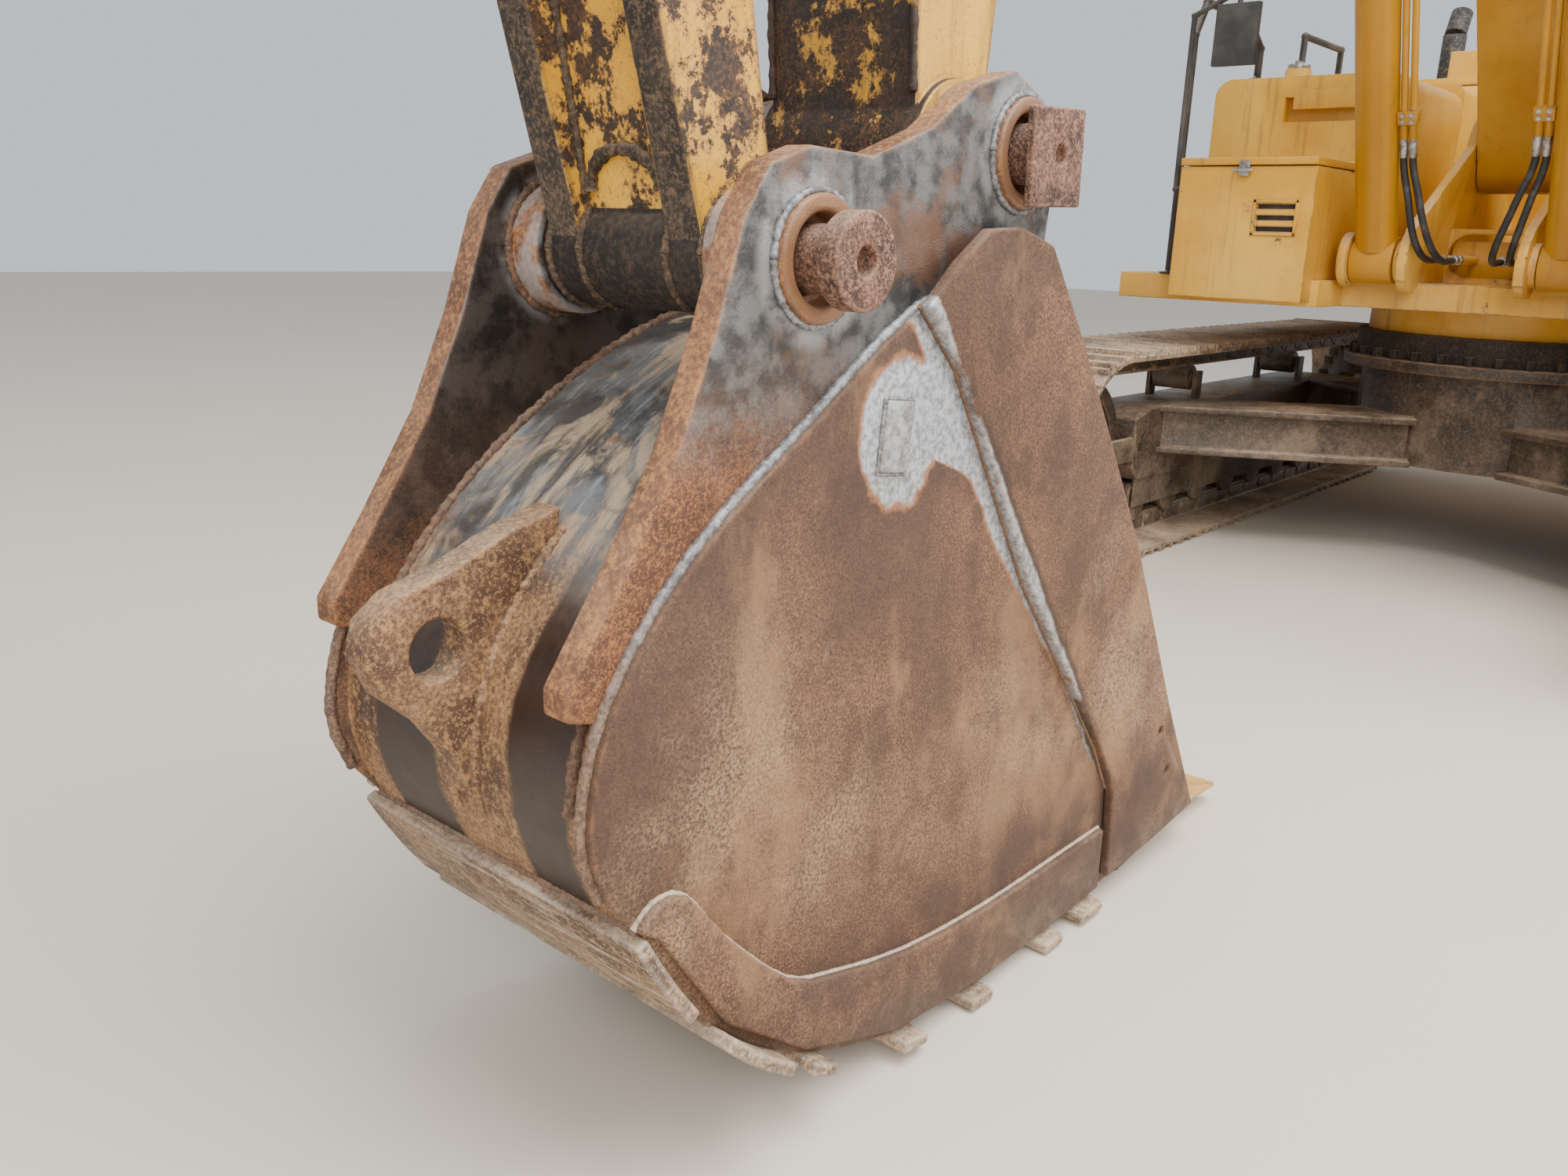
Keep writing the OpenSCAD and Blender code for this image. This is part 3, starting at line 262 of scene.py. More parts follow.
def weld_bead(points, radius, ripple=0.18, pace=0.7):
    """A weld bead with its ripples, along points."""
    dense = []
    for a, b in zip(points, points[1:]):
        count = max(1, round((b - a).length / (radius * pace)))
        dense += [a.lerp(b, k / count) for k in range(count)]
    dense.append(points[-1])
    sizes = [1 + ripple * math.sin(k * 1.9) + ripple * 0.7 * math.sin(k * 0.63 + 1)
             for k in range(len(dense))]
    return path_tube(dense, radius, 8, 1, sizes)


def repeat(piece, places):
    """The piece copied to each place, as one piece."""
    copies = []
    for place in places:
        one = bpy.data.objects.new(piece.name, piece.data.copy())
        one.data.transform(place)
        bpy.context.collection.objects.link(one)
        copies.append(one)
    bpy.data.objects.remove(piece)
    return join(copies)


def stand(place, out, roll=0.0):
    """A place whose own z points along out."""
    turned = Vector((0, 0, 1)).rotation_difference(Vector(out)).to_matrix().to_4x4()
    return Matrix.Translation(place) @ turned @ Matrix.Rotation(roll, 4, "Z")


# Materials: a bench that sets out shader nodes. The finishes call it b
class Bench:
    def __init__(self, tree):
        self.tree = tree
        self.spot = None

    def node(self, kind, values=None, **settings):
        made = self.tree.nodes.new(kind)
        for name, value in settings.items():
            setattr(made, name, value)
        for name, value in (values or {}).items():
            self.feed(value, made.inputs[name])
        return made

    def feed(self, value, socket):
        if isinstance(value, bpy.types.NodeSocket):
            self.tree.links.new(value, socket)
        elif isinstance(value, (tuple, list)) and len(value) == 3 and socket.type == "RGBA":
            socket.default_value = (*value, 1)
        else:
            socket.default_value = value

    def place(self):
        if self.spot is None:
            self.spot = self.node("ShaderNodeTexCoord")
        return self.spot.outputs["Object"]

    def facing(self):
        self.place()
        return self.node("ShaderNodeSeparateXYZ", {0: self.spot.outputs["Normal"]}).outputs

    def axes(self):
        return self.node("ShaderNodeSeparateXYZ", {0: self.place()}).outputs

    def stretched(self, scale, turn_by=(0, 0, 0)):
        return self.node("ShaderNodeMapping", {"Vector": self.place(), "Scale": scale,
                                               "Rotation": turn_by}).outputs[0]

    def noise(self, scale, detail=4.0, rough=0.6, where=None, warp=0.0):
        return self.node("ShaderNodeTexNoise", {
            "Vector": where or self.place(), "Scale": scale, "Detail": detail, "Roughness": rough,
            "Distortion": warp}).outputs["Fac"]

    def cells(self, scale):
        return self.node("ShaderNodeTexVoronoi", {"Vector": self.place(), "Scale": scale}).outputs[0]

    def wave(self, scale, bands="X", warp=0.0):
        return self.node("ShaderNodeTexWave", {"Vector": self.place(), "Scale": scale, "Distortion": warp},
                         bands_direction=bands).outputs["Fac"]

    def vector(self, operation, a, b=(0, 0, 0)):
        return self.node("ShaderNodeVectorMath", {0: a, 1: b}, operation=operation).outputs

    def math(self, operation, a, b=0.0, clamp=False):
        return self.node("ShaderNodeMath", {0: a, 1: b}, operation=operation, use_clamp=clamp).outputs[0]

    def step(self, value, low, high):
        """0 at low, 1 at high, with a soft passage."""
        return self.node("ShaderNodeMapRange", {"Value": value, "From Min": low, "From Max": high},
                         interpolation_type="SMOOTHSTEP").outputs[0]

    def mix(self, mask, a, b):
        """From colour a to colour b."""
        return self.node("ShaderNodeMix", {0: mask, 6: a, 7: b}, data_type="RGBA").outputs[2]

    def blend(self, mask, a, b):
        """From value a to value b."""
        return self.node("ShaderNodeMix", {0: mask, 2: a, 3: b}, data_type="FLOAT").outputs[0]

    def most(self, *values):
        made = values[0]
        for value in values[1:]:
            made = self.math("MAXIMUM", made, value)
        return made

    def times(self, *values):
        made = values[0]
        for value in values[1:]:
            made = self.math("MULTIPLY", made, value, True)
        return made

    def add(self, a, b):
        return self.math("ADD", a, b)

    def less(self, a, b, clamp=False):
        return self.math("SUBTRACT", a, b, clamp)

    def scale(self, a, b):
        return self.math("MULTIPLY", a, b)

    def cloud(self, scale, detail, rough, low, high, warp=0.0):
        """Patches of noise between two levels."""
        return self.step(self.noise(scale, detail, rough, None, warp), low, high)

    def over(self, colour, tone, *masks):
        """The tone laid over the colour where all the masks are."""
        return self.mix(self.times(*masks), colour, tone)

    def group(self, tree, **values):
        return self.node("ShaderNodeGroup", values, node_tree=tree).outputs

    def edges(self, width, scale):
        return self.group(edge_wear, Width=width, Scale=scale)

    def runs(self, scale):
        return self.group(streaks, Scale=scale)["Mask"]

    def flakes(self, scale, amount, edges):
        return self.group(chips, Scale=scale, Amount=amount, Edge=edges["Edge"])

    def rust(self, scale, dark, middle, bright, blotch=1.0):
        return self.group(rust_grain, Scale=scale, Dark=dark, Middle=middle, Bright=bright, Blotch=blotch)

    def dust(self, scale, top, upper, lower):
        return self.group(dust_lay, Scale=scale, Top=top, Upper=upper, Lower=lower)["Mask"]

    def dusted(self, colour, scale, top, upper, lower):
        return self.mix(self.dust(scale, top, upper, lower), colour, DUST)

    def line_gap(self, p, q):
        """Distance in side view from the line through p and q, positive to its left."""
        a, b = PIN_A + Vector((p[0], 0, p[1])), PIN_A + Vector((q[0], 0, q[1]))
        d = (b - a).normalized()
        place = self.vector("SUBTRACT", self.place(), tuple(a))[0]
        return self.vector("DOT_PRODUCT", place, (-d.z, 0.0, d.x))["Value"]

    def from_point(self, p, squash):
        """Distance from a point, squashed along the axes."""
        away = self.vector("SUBTRACT", self.place(), tuple(p))[0]
        return self.vector("LENGTH", self.vector("MULTIPLY", away, squash)[0])["Value"]


def new_group(name, inputs, outputs, fill):
    """A shader node group with named sockets, filled by a function."""
    tree = bpy.data.node_groups.new(name, "ShaderNodeTree")
    for label, kind, value in inputs:
        socket = tree.interface.new_socket(label, in_out="INPUT", socket_type=kind)
        socket.default_value = value
    for label, kind in outputs:
        tree.interface.new_socket(label, in_out="OUTPUT", socket_type=kind)
    bench = Bench(tree)
    given = bench.node("NodeGroupInput").outputs
    last = bench.node("NodeGroupOutput")
    for label, value in fill(bench, given).items():
        bench.feed(value, last.inputs[label])
    return tree


FLOAT, COLOR = "NodeSocketFloat", "NodeSocketColor"


def fill_edge_wear(b, given):
    bevel = b.node("ShaderNodeBevel", {"Radius": given["Width"]}, samples=4)
    flat = b.node("ShaderNodeNewGeometry").outputs["Normal"]
    edge = b.step(b.vector("DOT_PRODUCT", bevel.outputs[0], flat)["Value"], 0.999, 0.86)
    rough = b.noise(given["Scale"], 4, 0.7)
    worn = b.step(b.add(b.scale(edge, 0.75), b.scale(rough, 0.5)), 0.52, 0.72)
    return {"Edge": edge, "Worn": b.times(worn, b.step(edge, 0.02, 0.25), given["Amount"])}


edge_wear = new_group("edge_wear", [("Width", FLOAT, 0.01), ("Scale", FLOAT, 30.0), ("Amount", FLOAT, 1.0)],
                      [("Edge", FLOAT), ("Worn", FLOAT)], fill_edge_wear)


def fill_rust(b, given):
    coarse = b.noise(b.scale(given["Scale"], 0.06), 5, 0.62)
    middle = b.noise(b.scale(given["Scale"], 0.35), 5, 0.7)
    grain = b.noise(given["Scale"], 3, 0.75)
    shade = b.blend(given["Blotch"], 1.0, b.step(coarse, 0.38, 0.62))
    colour = b.mix(shade, given["Dark"], given["Middle"])
    patches = b.times(b.step(middle, 0.5, 0.68), b.blend(given["Blotch"], 0.18, 0.75))
    colour = b.mix(patches, colour, given["Bright"])
    colour = b.over(colour, given["Bright"], b.step(grain, 0.51, 0.62), 0.62)
    colour = b.over(colour, given["Dark"], b.step(grain, 0.48, 0.38), 0.75)
    pits = b.step(b.cells(b.scale(given["Scale"], 0.8)), 0.05, 0.4)
    height = b.add(b.scale(grain, 0.6), b.scale(pits, 0.4))
    return {"Color": colour, "Height": height}


rust_grain = new_group("rust_grain", [
    ("Scale", FLOAT, 220.0), ("Dark", COLOR, (0.05, 0.02, 0.01, 1)),
    ("Middle", COLOR, (0.18, 0.08, 0.05, 1)), ("Bright", COLOR, (0.4, 0.2, 0.08, 1)),
    ("Blotch", FLOAT, 1.0)],
    [("Color", COLOR), ("Height", FLOAT)], fill_rust)


def fill_dust_mask(b, given):
    up = b.step(b.facing()[2], 0.15, 0.95)
    low = b.step(b.axes()[2], given["Top"], 0.0)
    cloud = b.step(b.noise(given["Scale"], 6, 0.65), 0.3, 0.65)
    fine = b.blend(0.6, 1.0, b.step(b.noise(b.scale(given["Scale"], 14.0), 3, 0.7), 0.3, 0.6))
    lies = b.most(b.times(up, given["Upper"]), b.times(low, given["Lower"]))
    return {"Mask": b.times(lies, cloud, fine)}


dust_lay = new_group("dust_lay", [
    ("Scale", FLOAT, 3.0), ("Top", FLOAT, 1.2), ("Upper", FLOAT, 0.5), ("Lower", FLOAT, 0.5)],
    [("Mask", FLOAT)], fill_dust_mask)


def fill_streaks(b, given):
    down_line = b.stretched((1.0, 1.0, 0.06))
    thin = b.noise(given["Scale"], 4, 0.6, down_line)
    wide = b.noise(b.scale(given["Scale"], 0.2), 3, 0.5, down_line)
    upright = b.step(b.math("ABSOLUTE", b.facing()[2]), 0.7, 0.3)
    return {"Mask": b.times(b.step(thin, 0.52, 0.72), b.step(wide, 0.42, 0.62), upright)}


streaks = new_group("streaks", [("Scale", FLOAT, 40.0)], [("Mask", FLOAT)], fill_streaks)


def fill_chips(b, given):
    big = b.noise(b.scale(given["Scale"], 0.18), 4, 0.6)
    small = b.noise(given["Scale"], 6, 0.8)
    field = b.add(b.scale(big, 0.55), b.scale(small, 0.45))
    near_edge = b.scale(given["Edge"], 0.16)
    low = b.less(0.72, b.scale(given["Amount"], 0.34))
    gone = b.step(b.less(b.add(field, near_edge), low), -0.006, 0.012)
    rim = b.step(b.less(b.add(field, near_edge), low), -0.045, -0.004)
    return {"Gone": gone, "Rim": b.less(rim, gone, True)}


chips = new_group("chips", [("Scale", FLOAT, 40.0), ("Amount", FLOAT, 0.3), ("Edge", FLOAT, 0.0)],
                  [("Gone", FLOAT), ("Rim", FLOAT)], fill_chips)

# Colours, in linear light
YELLOW = (0.60, 0.285, 0.012)
YELLOW_PALE = (0.74, 0.42, 0.055)
DUST = (0.56, 0.44, 0.31)


def finish_on(name, build):
    """The material that build sets out on a bench."""
    made = bpy.data.materials.new(name)
    made.use_nodes = True
    bench = Bench(made.node_tree)
    shader = made.node_tree.nodes["Principled BSDF"]
    given = build(bench)
    bump = given.pop("Bump")
    if bump:
        raised = bench.node("ShaderNodeBump", {"Height": bump[0], "Distance": bump[1], "Strength": 1.0})
        given["Normal"] = raised.outputs[0]
    for label, value in given.items():
        bench.feed(value, shader.inputs[label])
    return made


def material(name):
    """Turns the function below it into the material of that name."""
    return lambda build: finish_on(name, build)


def look(colour, rough, bump=None, metal=0.0, **more):
    """What a finish gives its shader. The bump is a height and its depth in metres."""
    return {"Base Color": colour, "Roughness": rough, "Bump": bump, "Metallic": metal, **more}


def machine_paint(amount, lower=0.55, upper=0.45, top=1.6, tone=YELLOW, pale=YELLOW_PALE):
    """Sun-bleached paint with chips down to rust, brown runs and dust."""
    def build(b):
        colour = b.mix(b.cloud(1.6, 5, 0.6, 0.35, 0.7), tone, pale)
        colour = b.over(colour, (0.42, 0.22, 0.05), b.cloud(9, 5, 0.7, 0.55, 0.75), 0.35)
        colour = b.over(colour, (0.16, 0.085, 0.03), b.runs(30.0), 0.55)
        marks = b.flakes(34.0, amount, b.edges(0.010, 26.0))
        rust = b.rust(160.0, (0.035, 0.018, 0.012), (0.10, 0.05, 0.03), (0.2, 0.09, 0.035))
        colour = b.mix(marks["Rim"], colour, (0.52, 0.27, 0.06))
        colour = b.mix(marks["Gone"], colour, rust["Color"])
        dust = b.dust(2.6, top, upper, lower)
        colour = b.mix(dust, colour, DUST)
        rough = b.blend(marks["Gone"], b.blend(dust, 0.36, 0.75), 0.8)
        height = b.less(b.scale(b.noise(240, 2, 0.5), 0.25), marks["Gone"])
        return look(colour, rough, (height, 0.0007))
    return build


def worn_yellow_steel(amount):
    """Paint of the working end, scraped to dark oily steel."""
    def build(b):
        edges = b.edges(0.016, 30.0)
        marks = b.flakes(60.0, amount, edges)
        tone = b.mix(b.cloud(4, 5, 0.6, 0.35, 0.7), (0.66, 0.320, 0.010), (0.78, 0.42, 0.040))
        rust = b.rust(190.0, (0.014, 0.009, 0.006), (0.062, 0.032, 0.018), (0.17, 0.078, 0.030))
        under = b.over(rust["Color"], (0.022, 0.017, 0.013), b.cloud(3.1, 5, 0.65, 0.42, 0.62), 0.8)
        tone = b.over(tone, rust["Color"], b.cloud(190, 5, 0.8, 0.56, 0.62), 0.7)
        colour = b.mix(marks["Rim"], tone, (0.40, 0.19, 0.05))
        colour = b.mix(marks["Gone"], colour, under)
        colour = b.over(colour, (0.05, 0.03, 0.018), b.runs(26.0), 0.7)
        colour = b.mix(edges["Worn"], colour, (0.055, 0.035, 0.025))
        rough = b.blend(marks["Gone"], 0.45, b.blend(b.noise(12, 3), 0.45, 0.85))
        height = b.less(b.scale(rust["Height"], 0.5), b.scale(marks["Gone"], 0.7))
        return look(colour, rough, (height, 0.001))
    return build


# On the bucket's sides: the line of the side cutter and the middle of the bare patch
CUTTER_LINE = (0.178, -0.318), (-0.493, -1.222)
BARE_PATCH = bucket_at(0.300, -0.400)


@material("side_rust")
def side_rust(b):
    """Brown rust of the bucket's sides, with ground bands beside the welds and a painted shadow line along
    the cutter's edge.
    """
    rust = b.rust(230.0, (0.040, 0.019, 0.012), (0.150, 0.072, 0.040), (0.34, 0.180, 0.088), 0.35)
    up = b.axes()[2]
    edges = b.edges(0.014, 40.0)
    cloud = b.noise(1.7, 5, 0.55, b.stretched((1.0, 1.0, 0.55), (0, 0.5, 0)))
    colour = b.over(rust["Color"], (0.058, 0.029, 0.019), b.step(cloud, 0.42, 0.60), 0.75)
    colour = b.over(colour, (0.052, 0.026, 0.017), b.cloud(6.5, 5, 0.6, 0.50, 0.62), 0.55)
    warm = b.noise(4.2, 5, 0.62, b.stretched((1.0, 1.0, 0.5), (0, 0.4, 0)))
    colour = b.over(colour, (0.300, 0.165, 0.078), b.step(warm, 0.50, 0.62), 0.50)
    colour = b.over(colour, (0.045, 0.022, 0.015), b.cloud(95, 5, 0.8, 0.55, 0.66), 0.5)
    tan = b.times(b.cloud(2.6, 6, 0.62, 0.40, 0.62), b.step(up, 0.30, 0.45), b.step(up, 1.0, 0.55))
    colour = b.over(colour, (0.40, 0.265, 0.150), tan, b.cloud(170, 4, 0.75, 0.42, 0.60), 0.85)
    wobble = b.less(b.noise(13, 5, 0.65), 0.5)
    gap = b.add(b.line_gap(*CUTTER_LINE), b.scale(wobble, 0.030))
    wide = b.times(b.step(up, 0.99, 1.08), b.step(up, 1.20, 1.13))
    reach = b.add(b.blend(b.step(up, 0.50, 0.92), 0.008, 0.048), b.scale(wide, 0.10))
    inside = b.step(b.less(reach, gap), -0.002, 0.004)
    ground = b.times(inside, b.step(gap, -0.004, 0.004), b.step(up, 0.30, 0.40))
    patch = b.add(b.from_point(BARE_PATCH, (0.85, 0.0, 0.72)), b.scale(wobble, 0.05))
    ground = b.most(ground, b.step(patch, 0.082, 0.074))
    rim_of = b.most(b.times(b.step(b.less(reach, gap), -0.008, -0.002), b.step(gap, -0.004, 0.004)),
                    b.step(patch, 0.088, 0.081))
    colour = b.over(colour, (0.42, 0.17, 0.07), rim_of, b.step(up, 0.5, 0.7), 0.55)
    metal = b.mix(b.cloud(75, 5, 0.75, 0.38, 0.60), (0.20, 0.205, 0.21), (0.46, 0.475, 0.49))
    colour = b.over(colour, metal, ground, b.cloud(34, 5, 0.8, 0.28, 0.42), 0.95)
    # Painted shadow: a dark line along the cutter plate's edge, beside the ground band
    foot = b.times(b.step(gap, -0.020, -0.004), b.step(gap, 0.006, -0.002), b.step(up, 0.25, 0.3))
    colour = b.over(colour, (0.040, 0.022, 0.013), foot, b.step(up, 1.18, 1.15), 0.75)
    colour = b.over(colour, (0.34, 0.15, 0.06), edges["Edge"], b.cloud(30, 4, 0.7, 0.42, 0.60), 0.55)
    colour = b.dusted(colour, 4.0, 0.20, 0.20, 0.30)
    heel = b.times(b.step(up, 0.36, 0.24), b.blend(b.cloud(9, 5, 0.65, 0.42, 0.60), 0.70, 0.25))
    colour = b.mix(heel, colour, (0.052, 0.027, 0.018))
    colour = b.over(colour, (0.030, 0.017, 0.012), b.step(b.cells(95.0), 0.10, 0.04), 0.55)
    rough = b.blend(ground, 0.80, 0.45)
    height = b.scale(rust["Height"], b.blend(ground, 1.0, 0.25))
    return look(colour, rough, (height, 0.0014), metal=b.times(ground, 0.35))


@material("wrapper_steel")
def wrapper_steel(b):
    """The wrapper: scraped steel above, lighter there partly as a painted highlight, dark glossy bands and
    tan scraped zones below.
    """
    across, up = b.axes()[1], b.axes()[2]
    lane = b.add(across, b.scale(b.less(b.noise(3.2, 4, 0.6, b.stretched((0.5, 1, 0.5))), 0.5), 0.16))
    dark_one = b.times(b.step(lane, 0.090, 0.105), b.step(lane, 0.222, 0.205))
    dark_two = b.times(b.step(lane, -0.225, -0.205), b.step(lane, -0.060, -0.080))
    dark = b.most(dark_one, dark_two)
    rust = b.rust(150.0, (0.075, 0.036, 0.018), (0.235, 0.120, 0.055), (0.42, 0.25, 0.11))
    glossy = b.mix(b.noise(20, 4, 0.6), (0.010, 0.005, 0.003), (0.040, 0.017, 0.009))
    colour = b.mix(dark, rust["Color"], glossy)
    # Lighter scraped steel towards the top: real scraping, and partly a painted highlight
    high = b.step(b.add(up, b.scale(b.noise(2.2, 4, 0.6), 0.30)), 0.98, 1.16)
    streak = b.noise(46, 5, 0.7, b.stretched((0.12, 1.0, 0.12), (0, 0, 0.35)))
    scraped = b.cloud(4.2, 5, 0.6, 0.44, 0.60, warp=0.6)
    steel = b.mix(scraped, (0.055, 0.056, 0.058), (0.19, 0.197, 0.203))
    steel = b.over(steel, (0.40, 0.42, 0.43), b.step(streak, 0.50, 0.66), scraped)
    steel = b.over(steel, (0.52, 0.39, 0.26), b.cloud(5.5, 5, 0.65, 0.49, 0.59, warp=0.8),
                   b.step(streak, 0.36, 0.56))
    steel = b.over(steel, (0.20, 0.095, 0.040), b.cloud(9, 5, 0.7, 0.57, 0.66), 0.85)
    colour = b.mix(high, colour, steel)
    edges = b.edges(0.012, 40.0)
    colour = b.over(colour, (0.40, 0.22, 0.10), edges["Worn"], 0.7)
    colour = b.dusted(colour, 5.0, 0.16, 0.15, 0.4)
    rough = b.blend(b.most(dark, high), 0.75, b.blend(b.noise(16, 4), 0.36, 0.56))
    height = b.scale(b.add(rust["Height"], b.scale(streak, 0.5)), b.blend(dark, 1.0, 0.30))
    return look(colour, rough, (height, 0.0013), metal=b.times(high, 0.35))


@material("ear_steel")
def ear_steel(b):
    """Ears: blue-grey scraped steel by the bosses, rust brown below, orange burnt edges."""
    rust = b.rust(240.0, (0.055, 0.023, 0.014), (0.185, 0.072, 0.032), (0.40, 0.175, 0.055), 0.7)
    high = b.step(b.add(b.axes()[2], b.scale(b.noise(3.5, 5, 0.6), 0.22)), 1.13, 1.33)
    mottle = b.noise(18, 5, 0.65)
    steel = b.mix(b.step(mottle, 0.40, 0.62), (0.040, 0.038, 0.037), (0.150, 0.144, 0.139))
    steel = b.over(steel, (0.17, 0.082, 0.045), b.cloud(7, 5, 0.6, 0.50, 0.62), 0.75)
    steel = b.over(steel, (0.18, 0.08, 0.035), b.runs(45.0), 0.6)
    colour = b.mix(high, rust["Color"], steel)
    inner = b.step(b.math("ABSOLUTE", b.axes()[1]), 0.2375, 0.2345)
    oil = b.mix(b.step(mottle, 0.4, 0.6), (0.012, 0.009, 0.007), (0.050, 0.035, 0.027))
    oily = b.step(b.add(b.axes()[2], b.scale(b.noise(5, 5, 0.6), 0.5)), 0.95, 1.25)
    colour = b.over(colour, oil, inner, oily, 0.92)
    side = b.step(b.math("ABSOLUTE", b.facing()[1]), 0.8, 0.4)
    edge_rust = b.rust(120.0, (0.11, 0.045, 0.022), (0.255, 0.115, 0.055), (0.46, 0.21, 0.065))
    colour = b.mix(side, colour, edge_rust["Color"])
    edges = b.edges(0.012, 45.0)
    colour = b.over(colour, (0.44, 0.20, 0.075), edges["Edge"], b.cloud(25, 4, 0.7, 0.4, 0.6), 0.8)
    for pin in PINS:
        far = b.from_point(pin, (1, 0, 1))
        ring = b.times(b.step(far, 0.042, 0.052), b.step(far, 0.084, 0.078))
        colour = b.over(colour, (0.34, 0.16, 0.07), ring, 0.75)
        shine = b.times(b.step(far, 0.084, 0.09), b.step(far, 0.125, 0.10), b.cloud(22, 4, 0.6, 0.35, 0.6))
        colour = b.over(colour, (0.38, 0.38, 0.38), shine, 0.6)
    colour = b.dusted(colour, 5.0, 0.5, 0.2, 0.3)
    rough = b.blend(high, 0.78, b.blend(mottle, 0.42, 0.66))
    metallic = b.times(high, b.less(1.0, side), 0.35)
    return look(colour, rough, (rust["Height"], 0.0010), metal=metallic)


@material("bar_steel")
def bar_steel(b):
    """Wear bars: tan, dusty and scraped, with polished corners."""
    rust = b.rust(130.0, (0.075, 0.040, 0.022), (0.23, 0.135, 0.075), (0.44, 0.29, 0.165))
    edges = b.edges(0.012, 40.0)
    scrape = b.noise(60, 4, 0.7, b.stretched((1.0, 0.10, 1.0)))
    colour = b.over(rust["Color"], (0.62, 0.52, 0.40), b.step(scrape, 0.5, 0.7), 0.6)
    colour = b.over(colour, (0.56, 0.50, 0.43), edges["Worn"], 0.8)
    colour = b.dusted(colour, 7.0, 0.5, 0.7, 0.5)
    return look(colour, 0.72, (b.add(rust["Height"], scrape), 0.0014))


@material("weld_steel")
def weld_steel(b):
    """Welds ground grey above, rusting below."""
    rust = b.rust(200.0, (0.075, 0.042, 0.030), (0.19, 0.115, 0.078), (0.32, 0.19, 0.11))
    shine = b.noise(70, 5, 0.75)
    high = b.step(b.add(b.axes()[2], b.scale(b.noise(7, 5, 0.65), 0.6)), 1.05, 1.38)
    metal = b.mix(b.step(shine, 0.40, 0.60), (0.125, 0.125, 0.128), (0.30, 0.305, 0.31))
    colour = b.over(rust["Color"], metal, high, b.step(shine, 0.26, 0.42))
    return look(colour, b.blend(high, 0.78, 0.48), (shine, 0.0010), metal=b.times(high, 0.3))


def rough_rust(dark, middle, bright, scale, lower=0.4, depth=0.0014):
    """Forged and cast iron, rusty all over, with brighter edges."""
    def build(b):
        rust = b.rust(scale, dark, middle, bright)
        edges = b.edges(0.010, 40.0)
        colour = b.over(rust["Color"], bright, edges["Worn"], 0.7)
        colour = b.over(colour, dark, b.runs(50.0), 0.6)
        colour = b.dusted(colour, 5.0, 0.8, 0.3, lower)
        return look(colour, 0.8, (rust["Height"], depth))
    return build


@material("gear_iron")
def gear_iron(b):
    """Dark oily iron under caked sand."""
    rust = b.rust(90.0, (0.018, 0.013, 0.010), (0.060, 0.040, 0.028), (0.15, 0.085, 0.045))
    edges = b.edges(0.014, 30.0)
    colour = b.over(rust["Color"], (0.26, 0.14, 0.07), edges["Worn"], 0.7)
    caked = b.times(b.cloud(3.2, 6, 0.62, 0.5, 0.66), 0.55)
    colour = b.mix(caked, colour, (0.30, 0.215, 0.14))
    colour = b.dusted(colour, 2.5, 0.9, 0.85, 0.35)
    height = b.add(rust["Height"], b.times(caked, 1.0))
    return look(colour, b.blend(caked, 0.5, 0.9), (height, 0.002))


@material("track_steel")
def track_steel(b):
    rust = b.rust(110.0, (0.105, 0.062, 0.038), (0.30, 0.20, 0.125), (0.46, 0.33, 0.215))
    edges = b.edges(0.010, 35.0)
    colour = b.over(rust["Color"], (0.42, 0.38, 0.33), edges["Worn"], 0.85)
    colour = b.dusted(colour, 3.0, 0.9, 0.85, 0.6)
    rough = b.blend(edges["Worn"], 0.82, 0.45)
    return look(colour, rough, (rust["Height"], 0.0018), b.times(edges["Worn"], 0.5))


@material("rod_chrome")
def chrome(b):
    smear = b.noise(6, 5, 0.6, b.stretched((0.4, 1, 0.4)))
    colour = b.mix(b.step(smear, 0.45, 0.75), (0.72, 0.72, 0.73), (0.42, 0.37, 0.30))
    return look(colour, b.blend(smear, 0.10, 0.30), metal=1.0)


@material("hose_rubber")
def rubber(b):
    wrap = b.wave(160.0, "X", 0.6)
    colour = b.mix(b.cloud(14, 5, 0.7, 0.45, 0.75), (0.014, 0.014, 0.015), (0.075, 0.065, 0.055))
    return look(colour, b.blend(wrap, 0.42, 0.6), (wrap, 0.0004))


@material("cab_glass")
def glass(b):
    smear = b.noise(3.5, 5, 0.65)
    rough = b.blend(b.step(smear, 0.45, 0.7), 0.02, 0.16)
    return look((0.62, 0.68, 0.68), rough, **{"Transmission Weight": 0.9, "IOR": 1.45})


@material("cab_trim")
def trim(b):
    grain = b.cells(420.0)
    colour = b.mix(b.cloud(5, 5, 0.6, 0.4, 0.7), (0.022, 0.022, 0.024), (0.07, 0.062, 0.052))
    colour = b.dusted(colour, 4.0, 3.0, 0.4, 0.1)
    return look(colour, 0.62, (grain, 0.0003))


@material("seat_fabric")
def fabric(b):
    cloth = b.most(b.wave(260.0, "Y"), b.wave(260.0, "X"))
    colour = b.mix(cloth, (0.018, 0.018, 0.021), (0.06, 0.06, 0.068))
    return look(colour, 0.92, (cloth, 0.0006))


@material("engine_iron")
def engine_iron(b):
    rust = b.rust(60.0, (0.02, 0.02, 0.02), (0.07, 0.065, 0.06), (0.16, 0.12, 0.08))
    return look(rust["Color"], 0.6, (rust["Height"], 0.002))


@material("fitting_steel")
def fitting_steel(b):
    smear = b.noise(40, 4, 0.7)
    colour = b.mix(b.step(smear, 0.4, 0.7), (0.45, 0.45, 0.44), (0.22, 0.17, 0.12))
    return look(colour, b.blend(smear, 0.25, 0.55), (smear, 0.0004), metal=0.85)


@material("mirror_glass")
def mirror_glass(b):
    smear = b.noise(18, 4, 0.6)
    colour = b.mix(b.step(smear, 0.45, 0.8), (0.80, 0.82, 0.83), (0.45, 0.40, 0.33))
    return look(colour, b.blend(smear, 0.03, 0.18), metal=1.0)


